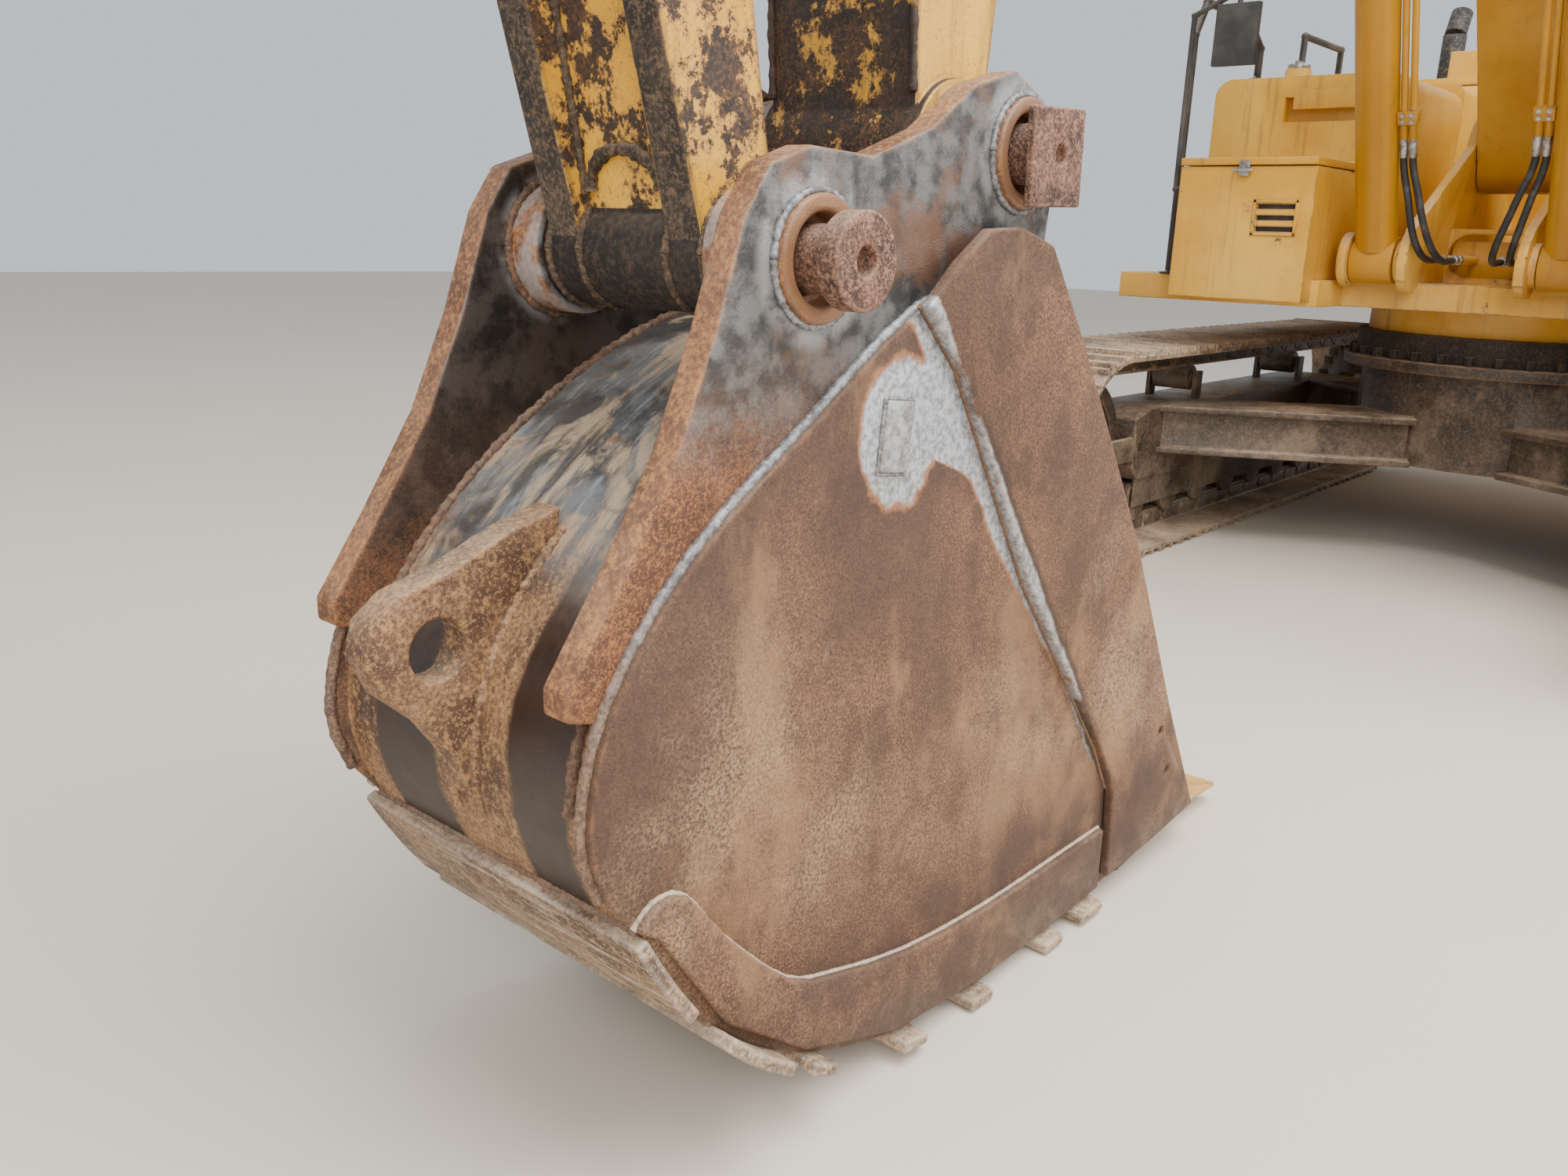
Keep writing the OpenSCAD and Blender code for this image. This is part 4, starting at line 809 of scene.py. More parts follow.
paint = finish_on("yellow_paint", machine_paint(0.10))
paint_low = finish_on("yellow_paint_low", machine_paint(0.24, lower=0.45, upper=0.75, top=1.9))
# A darker copy of the yellow paint for the boom cylinders and their lines: painted shade
paint_shaded = finish_on("yellow_paint_shaded", machine_paint(
    0.12, lower=0.15, upper=0.1, tone=(0.42, 0.185, 0.003), pale=(0.52, 0.245, 0.008)))
paint_end = finish_on("yellow_paint_scraped", worn_yellow_steel(0.80))
paint_link = finish_on("yellow_paint_link", worn_yellow_steel(0.58))
paint_side = finish_on("yellow_paint_side", worn_yellow_steel(0.24))
tooth_paint = finish_on("tooth_paint", machine_paint(0.55, lower=0.5, upper=0.3, top=0.3))
# Dark, middle and bright tone, then the scale of the grain, the dust below and the depth
SHADES = {
    "eye_rust": ((0.075, 0.037, 0.022), (0.225, 0.120, 0.064), (0.44, 0.25, 0.105), 150.0),
    "pin_rust": ((0.040, 0.020, 0.015), (0.165, 0.080, 0.055), (0.40, 0.215, 0.135), 210.0, 0.4, 0.003),
    "link_rust": ((0.016, 0.011, 0.008), (0.062, 0.042, 0.028), (0.18, 0.115, 0.065), 150.0),
    "inner_rust": ((0.05, 0.028, 0.02), (0.13, 0.07, 0.045), (0.24, 0.13, 0.07), 120.0),
    "lug_grey": ((0.05, 0.045, 0.04), (0.13, 0.12, 0.11), (0.24, 0.20, 0.17), 150.0),
    "grease_steel": ((0.012, 0.009, 0.007), (0.030, 0.021, 0.016), (0.075, 0.045, 0.028), 100.0, 0.1)}
eye_rust, pin_rust, link_rust, inner_rust, lug_grey, grease_steel = (
    finish_on(name, rough_rust(*shades)) for name, shades in SHADES.items())

# Cords: the four boom cylinder hoses, along the routes of the part's source, in millimetres
OUTER = [(760, 150, 1340), (820, 150, 1340), (885, 150, 1337), (950, 152, 1337), (1008, 158, 1348),
         (1056, 168, 1374), (1091, 181, 1415), (1112, 194, 1465), (1124, 207, 1522), (1133, 220, 1582),
         (1140, 236, 1640), (1153, 247, 1697), (1171.7, 250, 1745.3), (1194.4, 250, 1792.1)]
INNER = [(760, 90, 1340), (822, 90, 1337), (890, 90, 1336), (958, 92, 1333), (1020, 98, 1345),
         (1072, 110, 1374), (1108, 126, 1418), (1128, 144, 1470), (1138, 162, 1528), (1143, 179, 1588),
         (1146, 199, 1646), (1156, 212, 1699), (1171.7, 216, 1745.3), (1194.4, 216, 1792.1)]
HOSE_RADIUS = 0.0137
SIDES = (("left", 1), ("right", -1))
BOTH = (-1, 1)


def make_hose(name, route, side):
    points = [at(x / 1000, z / 1000, side * y / 1000) for x, y, z in route]
    made = path_tube(points, HOSE_RADIUS, 16, 3)
    made.name = made.data.name = name
    made.data.materials.append(rubber)
    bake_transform(made)
    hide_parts(name)
    made.name = name + "_rubber"
    return points


hoses = {}
for side_name, s in SIDES:
    for where, route in (("outer", OUTER), ("inner", INNER)):
        hose_name = side_name + "_" + where
        hoses[hose_name] = make_hose("hose_" + hose_name, route, s)


# Worn copies of the CAD solids, with softened edges
# Nodes with openings or thin leaves keep their faces unmerged, so that no opening is filled
PIERCED = ("cab", "cab_door", "door_left", "door_right", "engine_hood", "bay_walls", "exhaust", "mirrors",
           "power_link", "toolbox", "toolbox_lid", "tanks", "stick", "barrel_lines", "rollers")
SAME_POINT = 0.0002
SHELL_SIDE = 0.2845
LINK_TUBE, LINK_RIB = 0.092, 0.085
STICK_SCRAPED = 1.9


def worn(node, finish, edge=0.004, segments=2, rule=None, angle=32):
    """A copy of a CAD node with rounded edges. The rule gives the finish of each face."""
    source = nodes[node]
    pick(source)
    bpy.ops.object.duplicate()
    made = bpy.context.view_layer.objects.active
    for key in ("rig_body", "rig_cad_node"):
        if key in made:
            del made[key]
    made.parent = None
    made.matrix_world = Matrix.Identity(4)
    edit(made, "VERT")
    bpy.ops.mesh.remove_doubles(threshold=SAME_POINT)
    if node not in PIERCED:
        bpy.ops.mesh.dissolve_limited(angle_limit=math.radians(0.6))
    leave()
    if edge:
        round_edges(made, edge, segments, angle)
    settle(made, node + "_worn", source["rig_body"], finish)
    if rule:
        for face in made.data.polygons:
            face.material_index = rule(face.center, face.normal)
    smooth(made, 32)
    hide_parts(node)


def shell_rule(place, normal):
    return 0 if abs(place.y) > SHELL_SIDE else 1


def link_rule(place, normal):
    far = place - PIN_B
    if math.hypot(far.x, far.z) < LINK_TUBE:
        return 1
    return 2 if abs(place.y) > LINK_RIB and abs(normal.y) < 0.5 else 0


def stick_rule(place, normal):
    if (place - PIN_A).length > STICK_SCRAPED:
        return 1
    return 2 if abs(normal.y) > 0.5 else 0


worn("bucket_shell", [side_rust, wrapper_steel], 0.004, 2, shell_rule)
worn("bucket_ears", ear_steel, 0.006, 3)
worn("bucket_sides", side_rust, 0.006, 3)
worn("bucket_bars", bar_steel, 0.006, 3)
worn("bucket_teeth", tooth_paint, 0.005, 3)
worn("bucket_eye", eye_rust, 0.006, 3, angle=40)
worn("bucket_pins", pin_rust, 0.004, 3)
worn("power_link", [paint_link, grease_steel, link_rust], 0.004, 3, link_rule)
worn("idler_links", link_rust, 0.005)
worn("stick", [paint_end, paint, paint_side], 0.006, 3, stick_rule)
# The boom cylinders and their lines take the darker copy of the paint, which paints shade on them
for cad_node, its_finish, its_edge in (
        ("boom", paint, 0.006), ("boom_lines", paint, 0.002), ("boom_barrels", paint_shaded, 0.004),
        ("barrel_lines", paint_shaded, 0.002), ("stick_barrel", paint, 0.004),
        ("bucket_barrel", paint_end, 0.004), ("boom_rods", chrome, 0.002), ("stick_rod", chrome, 0.002),
        ("bucket_rod", chrome, 0.002),
        ("stick_lug", lug_grey, 0.005), ("upper_frame", paint_low, 0.005), ("counterweight", paint, 0.030),
        ("bay_walls", paint, 0.0025), ("engine_hood", paint, 0.006), ("door_left", paint, 0.002),
        ("door_right", paint, 0.002), ("tanks", paint, 0.002), ("toolbox", paint_low, 0.003),
        ("toolbox_lid", paint, 0.003), ("cab", paint, 0.004), ("cab_door", paint, 0.003),
        ("centre_pipes", paint_low, 0.002), ("hand_rails", trim, 0.0), ("mirrors", trim, 0.002),
        ("exhaust", engine_iron, 0.002), ("engine_block", engine_iron, 0.020),
        ("carbody", gear_iron, 0.006), ("track_frames", gear_iron, 0.006), ("rollers", gear_iron, 0.003),
        ("idlers", gear_iron, 0.004),
        ("sprockets", gear_iron, 0.003), ("bearing_ring", grease_steel, 0.002),
        ("track_left", track_steel, 0.003), ("track_right", track_steel, 0.003)):
    worn(cad_node, its_finish, its_edge)
for pane in nodes["cab_glass"].material_slots:
    pane.material = glass


# Lines and rows for the details
def level(points, y, lift=0.0):
    """A side-view line at a width, moved outwards to its right by lift."""
    made = []
    for i, p in enumerate(points):
        d = (points[min(i + 1, len(points) - 1)] - points[max(i - 1, 0)]).normalized()
        made.append(Vector((p.x + d.z * lift, y, p.z - d.x * lift)))
    return made


def loop(middle, radius, y, count=36):
    """A closed circle in side view, at a width."""
    return [Vector((middle.x + radius * math.cos(t), y, middle.z + radius * math.sin(t)))
            for t in (2 * math.pi * k / count for k in range(count + 1))]


def ring_flat(middle, radius, count):
    """Points on a level circle."""
    return [middle + Vector((radius * math.cos(t), radius * math.sin(t), 0))
            for t in (2 * math.pi * k / count for k in range(count))]


def rectangle(x0, z0, x1, z1, y):
    """A closed rectangle in side view, at a width."""
    return [at(x, z, y) for x, z in ((x0, z0), (x1, z0), (x1, z1), (x0, z1), (x0, z0))]


def along(origin, up):
    """Places by their length along up and their way out in front of it, in side view."""
    out = Vector((up.z, 0, -up.x))
    return lambda s, o, y=0.0: origin + up * s + out * o + Vector((0, y, 0))


def moved(x, z, y=0.0):
    return Matrix.Translation(at(x, z, y))


def block(low, high, edge=0.003, segments=2):
    """A slab between two corners that are given in side view."""
    return slab(at(*low), at(*high), edge, segments)


def rod(start, end, radius, sides=16, edge=0.002):
    return bar(at(*start), at(*end), radius, sides, edge)


def beads(name, body, finish, lines, radius, pace=0.7, ripple=0.18):
    settle([weld_bead(line, radius, ripple, pace) for line in lines], name, body, finish)


def bolts(name, body, places, out, size, finish=fitting_steel):
    """A row of bolts, each turned a little further than the last."""
    made = repeat(hex_bolt((0, 0, 1), size, size * 0.7),
                  [stand(p, out, i * 0.7) for i, p in enumerate(places)])
    settle(made, name, body, finish)


def side_points(*pairs):
    return [bucket_at(x / 1000, z / 1000) for x, z in pairs]


# Details of the bucket: its lines in side view, then the half widths of its faces
WRAP = spread(side_points((-600, -1452), (-300, -1462), (-40, -1465), (240, -1440), (480, -1350),
                          (670, -1205), (810, -1000), (862, -840), (820, -680), (700, -530), (520, -395),
                          (320, -295), (120, -245), (-20, -235)), 4)
RIM = spread(side_points((-20, -165), (254, -225), (500, -375), (713, -520), (850, -680), (892, -835),
                         (862, -935)), 3)
HEEL = spread(side_points((-480, -1307), (-300, -1307), (-32, -1305), (214, -1284), (406, -1239),
                          (521, -1195), (659, -1065), (736, -970), (792, -960), (826, -985)), 3)
CUTTER = side_points((279, -223), (178, -318), (-74, -698), (-423, -1112), (-493, -1222))
BAR_EDGES = [k for first, last in ((2, 2), (4, 4), (8, 8), (11, 11), (15, 15), (17, 19), (21, 23))
             for k in (first, last + 1)]
EAR_OUT, EAR_IN, BOSS_OUT, BOSS_IN = 0.2875, 0.2335, 0.288, 0.2325
EYE_OUT, CUTTER_OUT, HEEL_OUT, BAR_END, PAD_OUT = 0.0285, 0.3068, 0.3065, 0.30, 0.306

beads("ear_seam_beads", "bucket", weld_steel, [level(RIM, s * EAR_OUT, -0.001) for s in BOTH],
      0.0085, 0.7, 0.07)
beads("ear_foot_beads", "bucket", inner_rust, [level(WRAP[28:], s * EAR_IN) for s in BOTH], 0.0095)
beads("boss_ring_beads", "bucket", weld_steel,
      [loop(pin, 0.086, s * BOSS_OUT) for s in BOTH for pin in PINS], 0.0055)
beads("boss_inner_beads", "bucket", inner_rust,
      [loop(pin, 0.101, s * BOSS_IN) for s in BOTH for pin in PINS], 0.007)
beads("eye_foot_beads", "bucket", eye_rust, [level(WRAP[26:37], s * EYE_OUT) for s in BOTH], 0.008)
# The cutter beads are a rusty weld whose dark finish also paints the shadow line along the cutter's edge
beads("cutter_beads", "bucket", inner_rust, [level(CUTTER, s * CUTTER_OUT, 0.002) for s in BOTH],
      0.0045, 0.7, 0.10)
beads("heel_beads", "bucket", bar_steel, [level(HEEL, s * HEEL_OUT, 0.002) for s in BOTH],
      0.0055, 0.7, 0.08)
beads("bar_beads", "bucket", inner_rust,
      [[Vector((WRAP[k].x, y, WRAP[k].z)) for y in (-BAR_END, BAR_END)] for k in BAR_EDGES], 0.0065)

# Bare raised pad on the left side panel, with its bead
PAD = bucket_at(0.318, -0.405)
lean = Matrix.Rotation(math.radians(-6), 4, "Y")
pad = slab((-0.032, -0.006, -0.052), (0.032, 0.008, 0.052), 0.004, 3)
pad.data.transform(Matrix.Translation((PAD.x, 0.305, PAD.z)) @ lean)
settle(pad, "side_pad", "bucket", side_rust)
corners = [(-0.034, -0.054), (0.034, -0.054), (0.034, 0.054), (-0.034, 0.054), (-0.034, -0.054)]
beads("side_pad_bead", "bucket", weld_steel,
      [[Vector((PAD.x, PAD_OUT, PAD.z)) + lean @ Vector((x, 0, z)) for x, z in corners]], 0.0035)

# Keeper pins of the teeth, and the beads of their adapters
tooth_y = [-0.239 + i * 0.478 / 3 for i in range(4)]
settle([bar(bucket_at(-0.992, -1.412, y - 0.049), bucket_at(-0.992, -1.412, y + 0.049), 0.012)
        for y in tooth_y], "tooth_keepers", "bucket", pin_rust)
beads("adapter_beads", "bucket", inner_rust,
      [[bucket_at(-0.822, -1.374, y + end) for end in (-0.045, 0.045)] for y in tooth_y], 0.007)

# Power link: beads beside its ribs, the arc over its tube, the grease holes
on_link = along(PIN_B, Vector((0.20721, 0, 0.97830)))
beads("link_rib_beads", "power_link", link_rust,
      [[on_link(end, side * 0.052, s * 0.0885) for end in (0.09, 0.37)] for s in BOTH for side in BOTH],
      0.007)
beads("link_arc", "power_link", link_rust,
      [[on_link(0.095 + 0.055 * math.sin(a), 0.054, 0.072 * math.cos(a))
        for a in map(math.radians, range(0, 181, 12))]], 0.010)
beads("link_tube_beads", "power_link", link_rust,
      [loop(PIN_B, 0.083, s * y, 30) for s in BOTH for y in (0.089, 0.158)], 0.006)
grease_holes = []
for s in BOTH:
    out = Vector((0.90, 0, 0.42)).normalized()
    bpy.ops.mesh.primitive_torus_add(major_radius=0.011, minor_radius=0.0035,
                                     major_segments=20, minor_segments=8)
    grease_holes.append(bpy.context.object)
    grease_holes[-1].data.transform(stand(PIN_B + out * 0.081 + Vector((0, s * 0.128, 0)), out))
settle(grease_holes, "grease_holes", "power_link", grease_steel)

# Stick and boom: the seams of their welded boxes
on_stick = along(PIN_A, (at(5.277, 4.398) - PIN_A).normalized())
STICK_FRONT = ((0.10, 0.087), (0.30, 0.078), (0.62, 0.041), (1.32, 0.041), (2.30, 0.198))
STICK_BACK = ((0.42, -0.183), (2.90, -0.193))
beads("stick_seams", "stick", paint_end,
      [[on_stick(a, b, s * 0.145) for a, b in line] for s in BOTH for line in (STICK_FRONT, STICK_BACK)],
      0.0065, 1.4)
# Middle line of the boom: place, slope in degrees and depth in millimetres
BOOM = [(0.15, 1.78, 60, 290), (0.56, 2.42, 56, 380), (1.15, 3.21, 49, 580), (1.7, 3.76, 38, 720),
        (2.3, 4.08, 20, 740), (3.1, 4.25, 8, 620), (4.1, 4.372, 4, 450), (5.077, 4.406, 2, 330)]


def boom_edge(side):
    """The boom's upper edge for side 1, its lower edge for side -1."""
    made = []
    for x, z, slope, depth in BOOM:
        half, a = side * depth / 2000, math.radians(slope)
        made.append(at(x - half * math.sin(a), z + half * math.cos(a)))
    return spread(made, 3)


beads("boom_seams", "boom", paint,
      [level(boom_edge(side)[first:19], s * 0.186) for s in BOTH for side, first in ((1, 1), (-1, 6))],
      0.0075, 1.6)

# Hose ends: crimped sleeves and nuts
ALONG = Vector((1, 0, 0))
for hose_name, points in hoses.items():
    low, top = points[0], points[-1]
    back = (points[-3] - top).normalized()
    settle([bar(top + back * 0.012, top + back * 0.072, 0.0162, 20),
            bar(top - back * 0.014, top + back * 0.014, 0.0168, 6)],
           "sleeve_top_" + hose_name, "boom_barrels", fitting_steel)
    settle([bar(low + ALONG * 0.012, low + ALONG * 0.070, 0.0180, 20),
            bar(low - ALONG * 0.030, low + ALONG * 0.014, 0.0225, 6)],
           "sleeve_low_" + hose_name, "house", fitting_steel)

# Clamp bolts beside the boom barrels
LIFT_UP = Vector((1.18, 0, 2.43)).normalized()
on_lift = along(at(0.97, 1.33), LIFT_UP)
bolts("clamp_bolts", "boom_barrels",
      [on_lift(0.6 + u, 0.0225, s * y) for s in BOTH for y in (0.2165, 0.2505) for u in (-0.013, 0.013)],
      Vector((LIFT_UP.z, 0, -LIFT_UP.x)), 0.0075)

# Undercarriage: shoe bolts, chain links, drive and wheel bolts
TRACK_R, BASE, SHOES, TRACK_Y, WHEEL_Z = 0.431, 3.53, 48, 1.295, 0.465
TRACK_LENGTH = 2 * BASE + 2 * math.pi * TRACK_R
ROLLER_X, ROLLER_STEP, ROLLER_Z = -1.26, 0.36, 0.330


def on_track(s):
    """Place and turn on the track path, at a length from its lower rear corner."""
    arc = math.pi * TRACK_R
    if s < BASE:
        return s - BASE / 2, -TRACK_R, 0.0
    if s < BASE + arc:
        a = (s - BASE) / TRACK_R
        return BASE / 2 + TRACK_R * math.sin(a), -TRACK_R * math.cos(a), a
    if s < 2 * BASE + arc:
        return BASE / 2 - (s - BASE - arc), TRACK_R, math.pi
    a = (s - 2 * BASE - arc) / TRACK_R
    return -BASE / 2 - TRACK_R * math.sin(a), TRACK_R * math.cos(a), math.pi + a


def track_places(out, widths):
    """One place between each two shoes for each width, moved out of the path by out."""
    places = []
    for i in range(SHOES):
        x, z, a = on_track((i + 0.5) * TRACK_LENGTH / SHOES)
        normal = Vector((math.sin(a), 0, -math.cos(a)))
        for y in widths:
            places.append(Matrix.Translation(at(x, WHEEL_Z + z, y) + normal * out)
                          @ Matrix.Rotation(-a, 4, "Y"))
    return places


for side_name, s in SIDES:
    bolt = hex_bolt((0, 0, -1), 0.013, 0.008)
    bolt.data.transform(Matrix.Translation((0.036, 0, 0)))
    shoe_y = [s * TRACK_Y + y for y in (-0.075, -0.045, 0.045, 0.075)]
    settle(repeat(bolt, track_places(0.012, shoe_y)), "shoe_bolts_" + side_name, "undercarriage",
           track_steel)
    link = join([slab((-0.085, -0.007, -0.030), (0.085, 0.007, 0.034), 0.006),
                 bar((0.075, -0.012, 0), (0.075, 0.012, 0), 0.022, 12)])
    chain_y = [s * TRACK_Y + y for y in (-0.096, 0.096)]
    settle(repeat(link, track_places(-0.050, chain_y)), "chain_links_" + side_name, "undercarriage",
           gear_iron)
    hub = at(-BASE / 2, WHEEL_Z)
    bolts("drive_bolts_" + side_name, "undercarriage",
          loop(hub, 0.178, s * (TRACK_Y + 0.095), 18)[:-1]
          + loop(hub, 0.105, s * (TRACK_Y + 0.125), 10)[:-1], (0, s, 0), 0.013, gear_iron)
    bolts("roller_bolts_" + side_name, "undercarriage",
          [at(ROLLER_X + i * ROLLER_STEP + dx, ROLLER_Z, s * (TRACK_Y + 0.1495))
           for i in range(8) for dx in (-0.04, 0.04)], (0, s, 0), 0.010, gear_iron)
    bolts("guide_bolts_" + side_name, "undercarriage",
          [at(1.42 + dx, 0.465 + dz, s * (TRACK_Y + 0.155)) for dx in (0.10, 0.16) for dz in (-0.03, 0.03)],
          (0, s, 0), 0.012, gear_iron)

# Upper frame and boxes
UP, DOWN = (0, 0, 1), (0, 0, -1)
race = [p for p in ring_flat(at(0, 1.2405), 0.585, 30) if 0.30 < abs(p.y) < 0.46]
bolts("race_bolts", "house", race, UP, 0.015, gear_iron)
settle(block((1.262, 1.415, -0.790), (1.268, 1.560, -0.575), 0.002), "vent_back", "house", trim)
settle([block((1.288, z0, y0), (1.296, z1, y1)) for y0, y1, z0, z1 in (
    (-0.775, -0.585, 1.412, 1.427), (-0.775, -0.585, 1.543, 1.558),
    (-0.775, -0.761, 1.412, 1.558), (-0.599, -0.585, 1.412, 1.558))], "vent_frame", "house", paint_low)
settle([block((1.299, 1.650, -0.850), (1.309, 1.712, -0.805)),
        rod((1.315, 1.672, -0.870), (1.315, 1.672, -0.785), 0.007, 12)],
       "lid_latch", "box_lid", fitting_steel)
settle(repeat(bar((0, 0, 0), (0, 0, 0.005), 0.011, 10, 0.0015),
              [moved(0.62 + i * 0.075, 1.7245, -1.05 + j * 0.075) for i in range(9) for j in range(7)]),
       "lid_tread", "box_lid", paint_low)
settle([rod((0.25, 2.188, -1.05), (0.25, 2.212, -1.05), 0.052, 12, 0.004),
        block((0.205, 2.208, -1.057), (0.295, 2.228, -1.043), 0.004)], "fuel_cap", "house", fitting_steel)
bolts("tank_cover_bolts", "house", ring_flat(at(-0.775, 2.215, -0.9), 0.052, 6), UP, 0.008)
settle(block((0.499, 1.985, -0.96), (0.506, 2.075, -0.64)), "tank_plate", "house", paint)
RAIL_FEET = ((1.15, 1.24, -1.18), (0.42, 2.13, -1.18), (-1.07, 2.17, -1.32), (-0.50, 2.17, -1.32))
settle(repeat(bar((0, 0, 0), (0, 0, 0.008), 0.042, 24, 0.003), [moved(*foot) for foot in RAIL_FEET]),
       "rail_feet", "house", trim)
bolts("rail_bolts", "house", [at(x + dx, z + 0.008, y) for x, z, y in RAIL_FEET for dx in (-0.03, 0.03)],
      UP, 0.007)
settle([block((1.2425, 2.102, -1.028), (1.2455, 2.318, -0.872), 0.0012),
        block((1.3825, 2.192, 1.462), (1.3855, 2.388, 1.578), 0.0012)],
       "mirror_faces", "house", mirror_glass)
for side_name, s in SIDES:
    door = side_name + "_bay_door"
    slat = slab((-0.168, -0.002, -0.022), (0.168, 0.002, 0.022), 0.0015)
    slat.data.transform(Matrix.Rotation(math.radians(-s * 38), 4, "X"))
    settle(repeat(slat, [moved(-2.25 + 0.28 + x * 0.45, 1.495 + i * 0.075, s * 1.385)
                         for i in range(7) for x in (0, 1)]), door + "_slats", door, paint)
    settle([block((-2.19, 1.64, s * 1.406 - 0.008), (-2.10, 1.70, s * 1.406 + 0.008), 0.005),
            block((-2.175, 1.655, s * 1.417 - 0.004), (-2.125, 1.685, s * 1.417 + 0.004))],
           door + "_latch", door, trim)
slat = slab((-0.004, -0.50, -0.020), (0.004, 0.50, 0.020), 0.0015)
slat.data.transform(Matrix.Rotation(math.radians(35), 4, "Y"))
settle(repeat(slat, [moved(-2.12 + i * 0.09, 2.405) for i in range(8)]), "hood_slats", "hood", paint)
settle([block((-2.325, 2.20, y - 0.03), (-2.318, 2.29, y + 0.03)) for y in (-0.7, 0.7)],
       "hood_latches", "hood", trim)
bolts("weight_bolts", "house", [at(-2.55, 1.136, y) for y in (-0.6, -0.2, 0.2, 0.6)], DOWN, 0.028,
      gear_iron)
for s in BOTH:
    bpy.ops.mesh.primitive_torus_add(major_radius=0.038, minor_radius=0.011,
                                     major_segments=24, minor_segments=10)
    lift_ring = bpy.context.object
    lift_ring.data.transform(moved(-2.55, 2.012, s * 0.7) @ Matrix.Rotation(math.pi / 2, 4, "X"))
    settle(lift_ring, "weight_ring_" + ("left" if s > 0 else "right"), "house", gear_iron)

# Cab: seals, panes, wiper, handle, and the driver's place
CAB_SIDE = 1.4315
settle(path_tube(rectangle(-0.26, 1.94, 0.14, 2.70, CAB_SIDE), 0.008, 8, 1), "window_seal", "house", rubber)
settle([path_tube(rectangle(0.30, low, 1.12, high, CAB_SIDE), 0.008, 8, 1)
        for low, high in ((2.02, 2.69), (1.47, 1.87))], "door_seals", "cabin_door", rubber)
settle([block((0.301, low, 1.404), (1.119, high, 1.410), 0.001)
        for low, high in ((2.021, 2.689), (1.471, 1.869))], "door_panes", "cabin_door", glass)
settle(block((0.501, 2.885, 0.701), (0.999, 2.893, 1.229), 0.001), "roof_pane", "house", glass)
grip = [at(1.10, z, y) for z, y in ((2.10, 1.43), (2.10, 1.468), (2.42, 1.468), (2.42, 1.43))]
settle(path_tube(grip, 0.010, 10, 1), "door_grip", "cabin_door", trim)
arm = rod((1.385, 1.78, 1.18), (1.362, 2.28, 1.02), 0.006, 10, 0.001)
blade = slab((-0.006, -0.008, -0.25), (0.006, 0.008, 0.25))
blade.data.transform(moved(1.372, 2.20, 1.02) @ Matrix.Rotation(math.radians(-3), 4, "Y"))
post = rod((1.35, 1.78, 1.18), (1.395, 1.78, 1.18), 0.016, 14)
settle([arm, blade, post], "wiper", "house", trim)
for i, z in enumerate((1.32, 1.52)):
    settle(block((1.00, z - 0.10, 1.405), (1.25, z - 0.09, 1.43)), "cab_step_%d" % i, "house", trim)


def pad_form(low, high, crown, name):
    """A crowned upholstered cushion with its sides drawn in between the corners."""
    low, high = at(*low), at(*high)
    middle, half = (low + high) / 2, (high - low) / 2
    bpy.ops.mesh.primitive_cube_add(size=2)
    made = bpy.context.object
    edit(made)
    bpy.ops.mesh.subdivide(number_cuts=9)
    leave()
    for vertex in made.data.vertices:
        x, y, z = vertex.co
        away = [1 - abs(v) ** 2.4 for v in (x, y, z)]
        size = 0.90 + 0.10 * min(1.0, sum(away))
        bulge = Vector((x * away[1] * away[2], y * away[0] * away[2], z * away[0] * away[1])) * crown
        seam = 0.006 * max(0.0, 1 - abs(abs(y) - 0.42) / 0.07) if abs(z) > 0.8 or abs(x) > 0.8 else 0.0
        full = Vector((x * half.x, y * half.y, z * half.z)) * size
        vertex.co = full + bulge - Vector((x, 0, z)) * seam + middle
    modify(made, "SUBSURF", levels=2, render_levels=2)
    smooth(made, 60)
    settle(made, name, "house", fabric)


pad_form((-0.03, 1.615, 0.735), (0.47, 1.745, 1.195), 0.022, "seat_cushion")
pad_form((-0.13, 1.745, 0.745), (-0.005, 2.290, 1.185), 0.020, "seat_back")
pad_form((-0.125, 2.295, 0.835), (-0.035, 2.405, 1.095), 0.012, "seat_headrest")
seat = [block((0.0, 1.285, 0.785), (0.42, 1.33, 1.145), 0.008),
        block((0.0, 1.555, 0.785), (0.42, 1.615, 1.145), 0.012)]
for i in range(5):
    fold, z = 0.012 * (i % 2), 1.335 + i * 0.044
    seat.append(block((0.03 - fold, z, 0.815 - fold), (0.39 + fold, z + 0.038, 1.115 + fold), 0.012))
for y in (0.605, 1.235):
    seat += [block((0.0, 1.285, y + 0.012), (0.42, 1.79, y + 0.078), 0.020, 3),
             block((-0.02, 1.79, y), (0.50, 1.84, y + 0.09), 0.022, 4)]
seat_frame = settle(seat, "seat_frame", "house", trim)
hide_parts("cab_seat")
sticks = []
for y in (0.650, 1.280):
    sticks += [rod((0.44, 1.835, y), (0.46, 1.885, y), 0.026, 20, 0.010),
               rod((0.455, 1.87, y), (0.468, 1.93, y), 0.009, 12),
               rod((0.466, 1.92, y), (0.490, 2.025, y), 0.021, 18, 0.012)]
for y in (0.90, 1.03):
    sticks += [rod((1.02, 1.29, y), (0.98, 1.80, y), 0.010, 12),
               rod((0.98, 1.79, y), (0.975, 1.87, y), 0.016, 14, 0.007),
               block((0.96, 1.30, y - 0.05), (1.10, 1.33, y + 0.05), 0.008)]
settle(sticks, "levers", "house", trim)
screen = slab((-0.015, -0.09, -0.065), (0.015, 0.09, 0.065), 0.010, 3)
screen.data.transform(moved(1.12, 2.02, 0.64) @ Matrix.Rotation(math.radians(35), 4, "Z"))
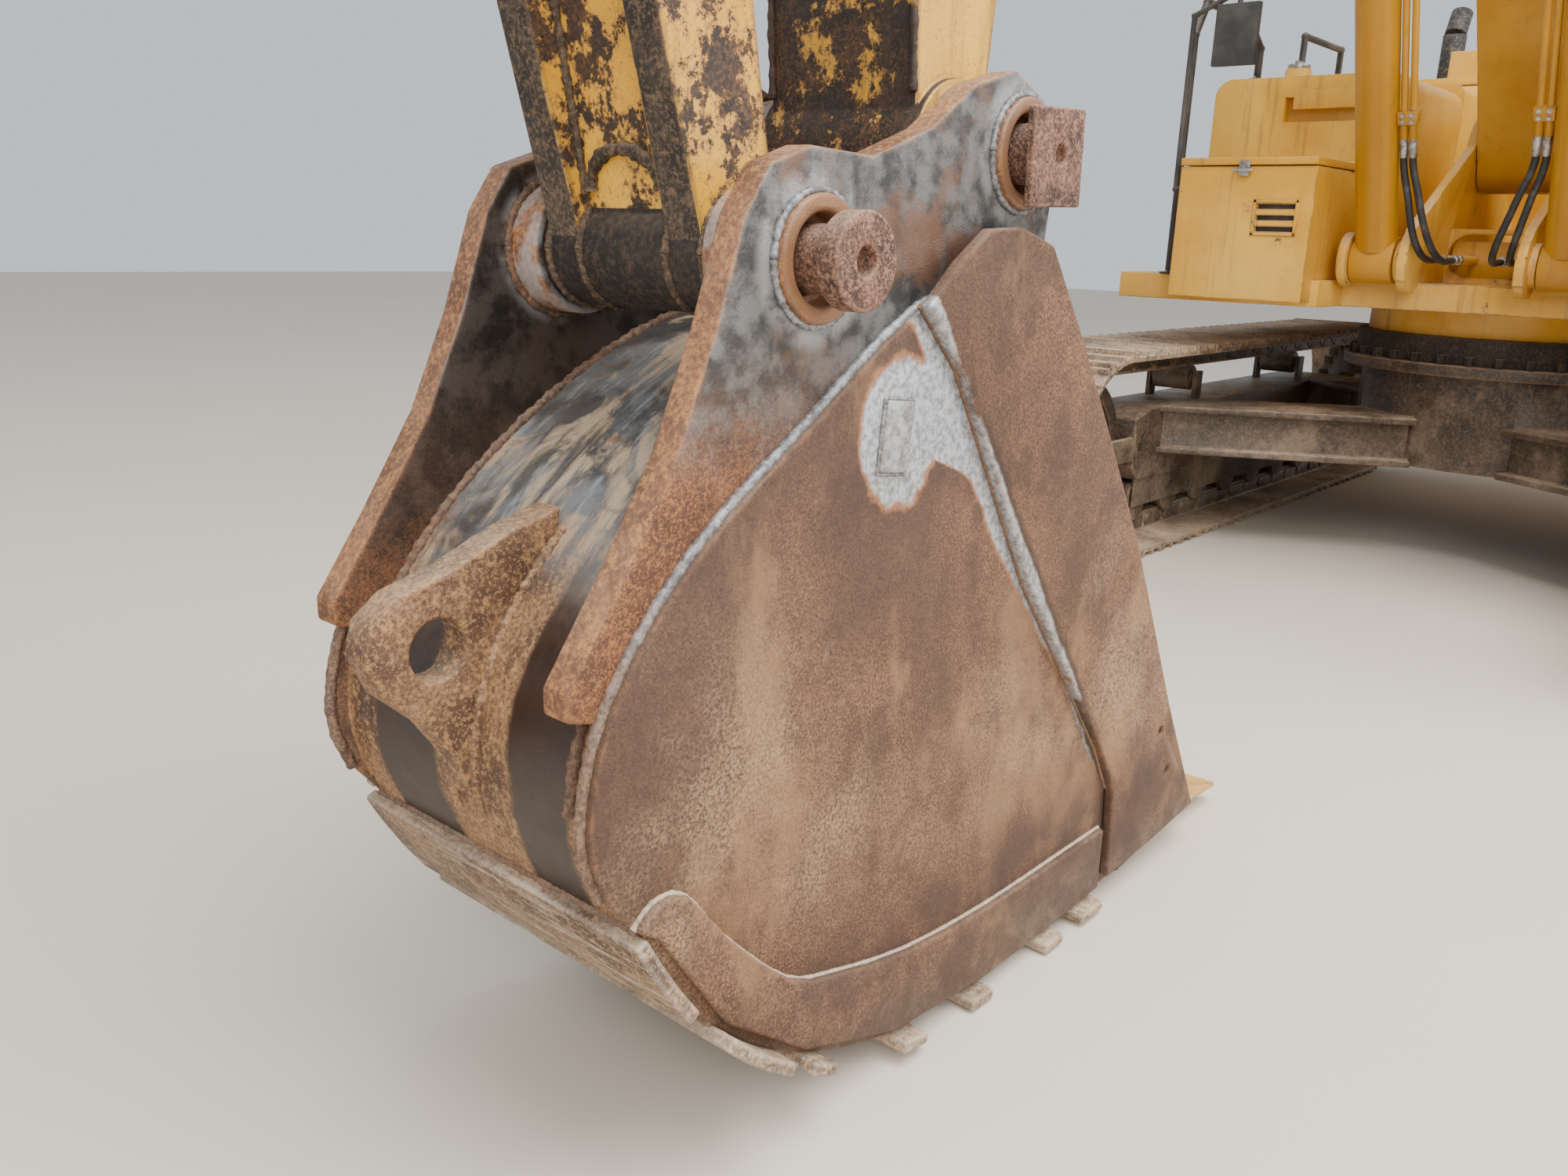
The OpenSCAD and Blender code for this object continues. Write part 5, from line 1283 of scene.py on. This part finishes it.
settle([screen, rod((1.12, 1.62, 0.60), (1.12, 1.97, 0.635), 0.012, 12)], "monitor", "house", trim)
settle(block((0.50, 1.286, 0.57), (1.22, 1.297, 1.36), 0.004), "floor_mat", "house", rubber)

# Engine bay: cover, filter and pulleys on the engine
engine = [block((-2.05, 2.035, -0.30), (-1.55, 2.125, 0.10), 0.020, 3),
          rod((-2.05, 1.86, 0.70), (-1.60, 1.86, 0.70), 0.085, 28, 0.012),
          rod((-1.75, 1.70, -0.70), (-1.75, 1.98, -0.70), 0.055, 24, 0.010)]
engine += [block((-2.02 + i * 0.08, 2.12, -0.28), (-2.00 + i * 0.08, 2.135, 0.08), 0.004) for i in range(6)]
settle(engine, "engine_cover", "house", engine_iron)

# Stage: plain pale floor and soft light
bpy.ops.mesh.primitive_plane_add(size=60, location=(0, 0, 0))
floor = bpy.context.object
floor.name = "studio_floor"


def floor_finish(b):
    colour = b.mix(b.noise(0.8, 5, 0.6), (0.62, 0.55, 0.46), (0.68, 0.61, 0.52))
    return look(colour, 0.85)


floor.data.materials.append(finish_on("studio_floor", floor_finish))
world = bpy.data.worlds.new("studio_sky")
bpy.context.scene.world = world
world.use_nodes = True
world.node_tree.nodes["Background"].inputs["Color"].default_value = (0.86, 0.93, 1.0, 1)
world.node_tree.nodes["Background"].inputs["Strength"].default_value = 0.85


def soft_light(name, place, target, size, power, tone):
    light = bpy.data.lights.new(name, "AREA")
    light.shape = "SQUARE"
    light.size = size
    light.energy = power
    light.color = tone
    made = bpy.data.objects.new(name, light)
    bpy.context.collection.objects.link(made)
    made.location = place
    made.rotation_euler = (Vector(target) - Vector(place)).to_track_quat("-Z", "Y").to_euler()


soft_light("top_light", (3.0, 3.0, 9.0), (2.5, 0.0, 1.0), 7.0, 1500, (1.0, 0.98, 0.95))
soft_light("front_light", (9.0, 5.0, 5.0), (3.4, 0.0, 0.8), 5.0, 480, (1.0, 0.97, 0.93))
soft_light("side_light", (-2.0, 8.0, 5.0), (0.0, 0.0, 1.0), 5.0, 500, (0.97, 0.98, 1.0))
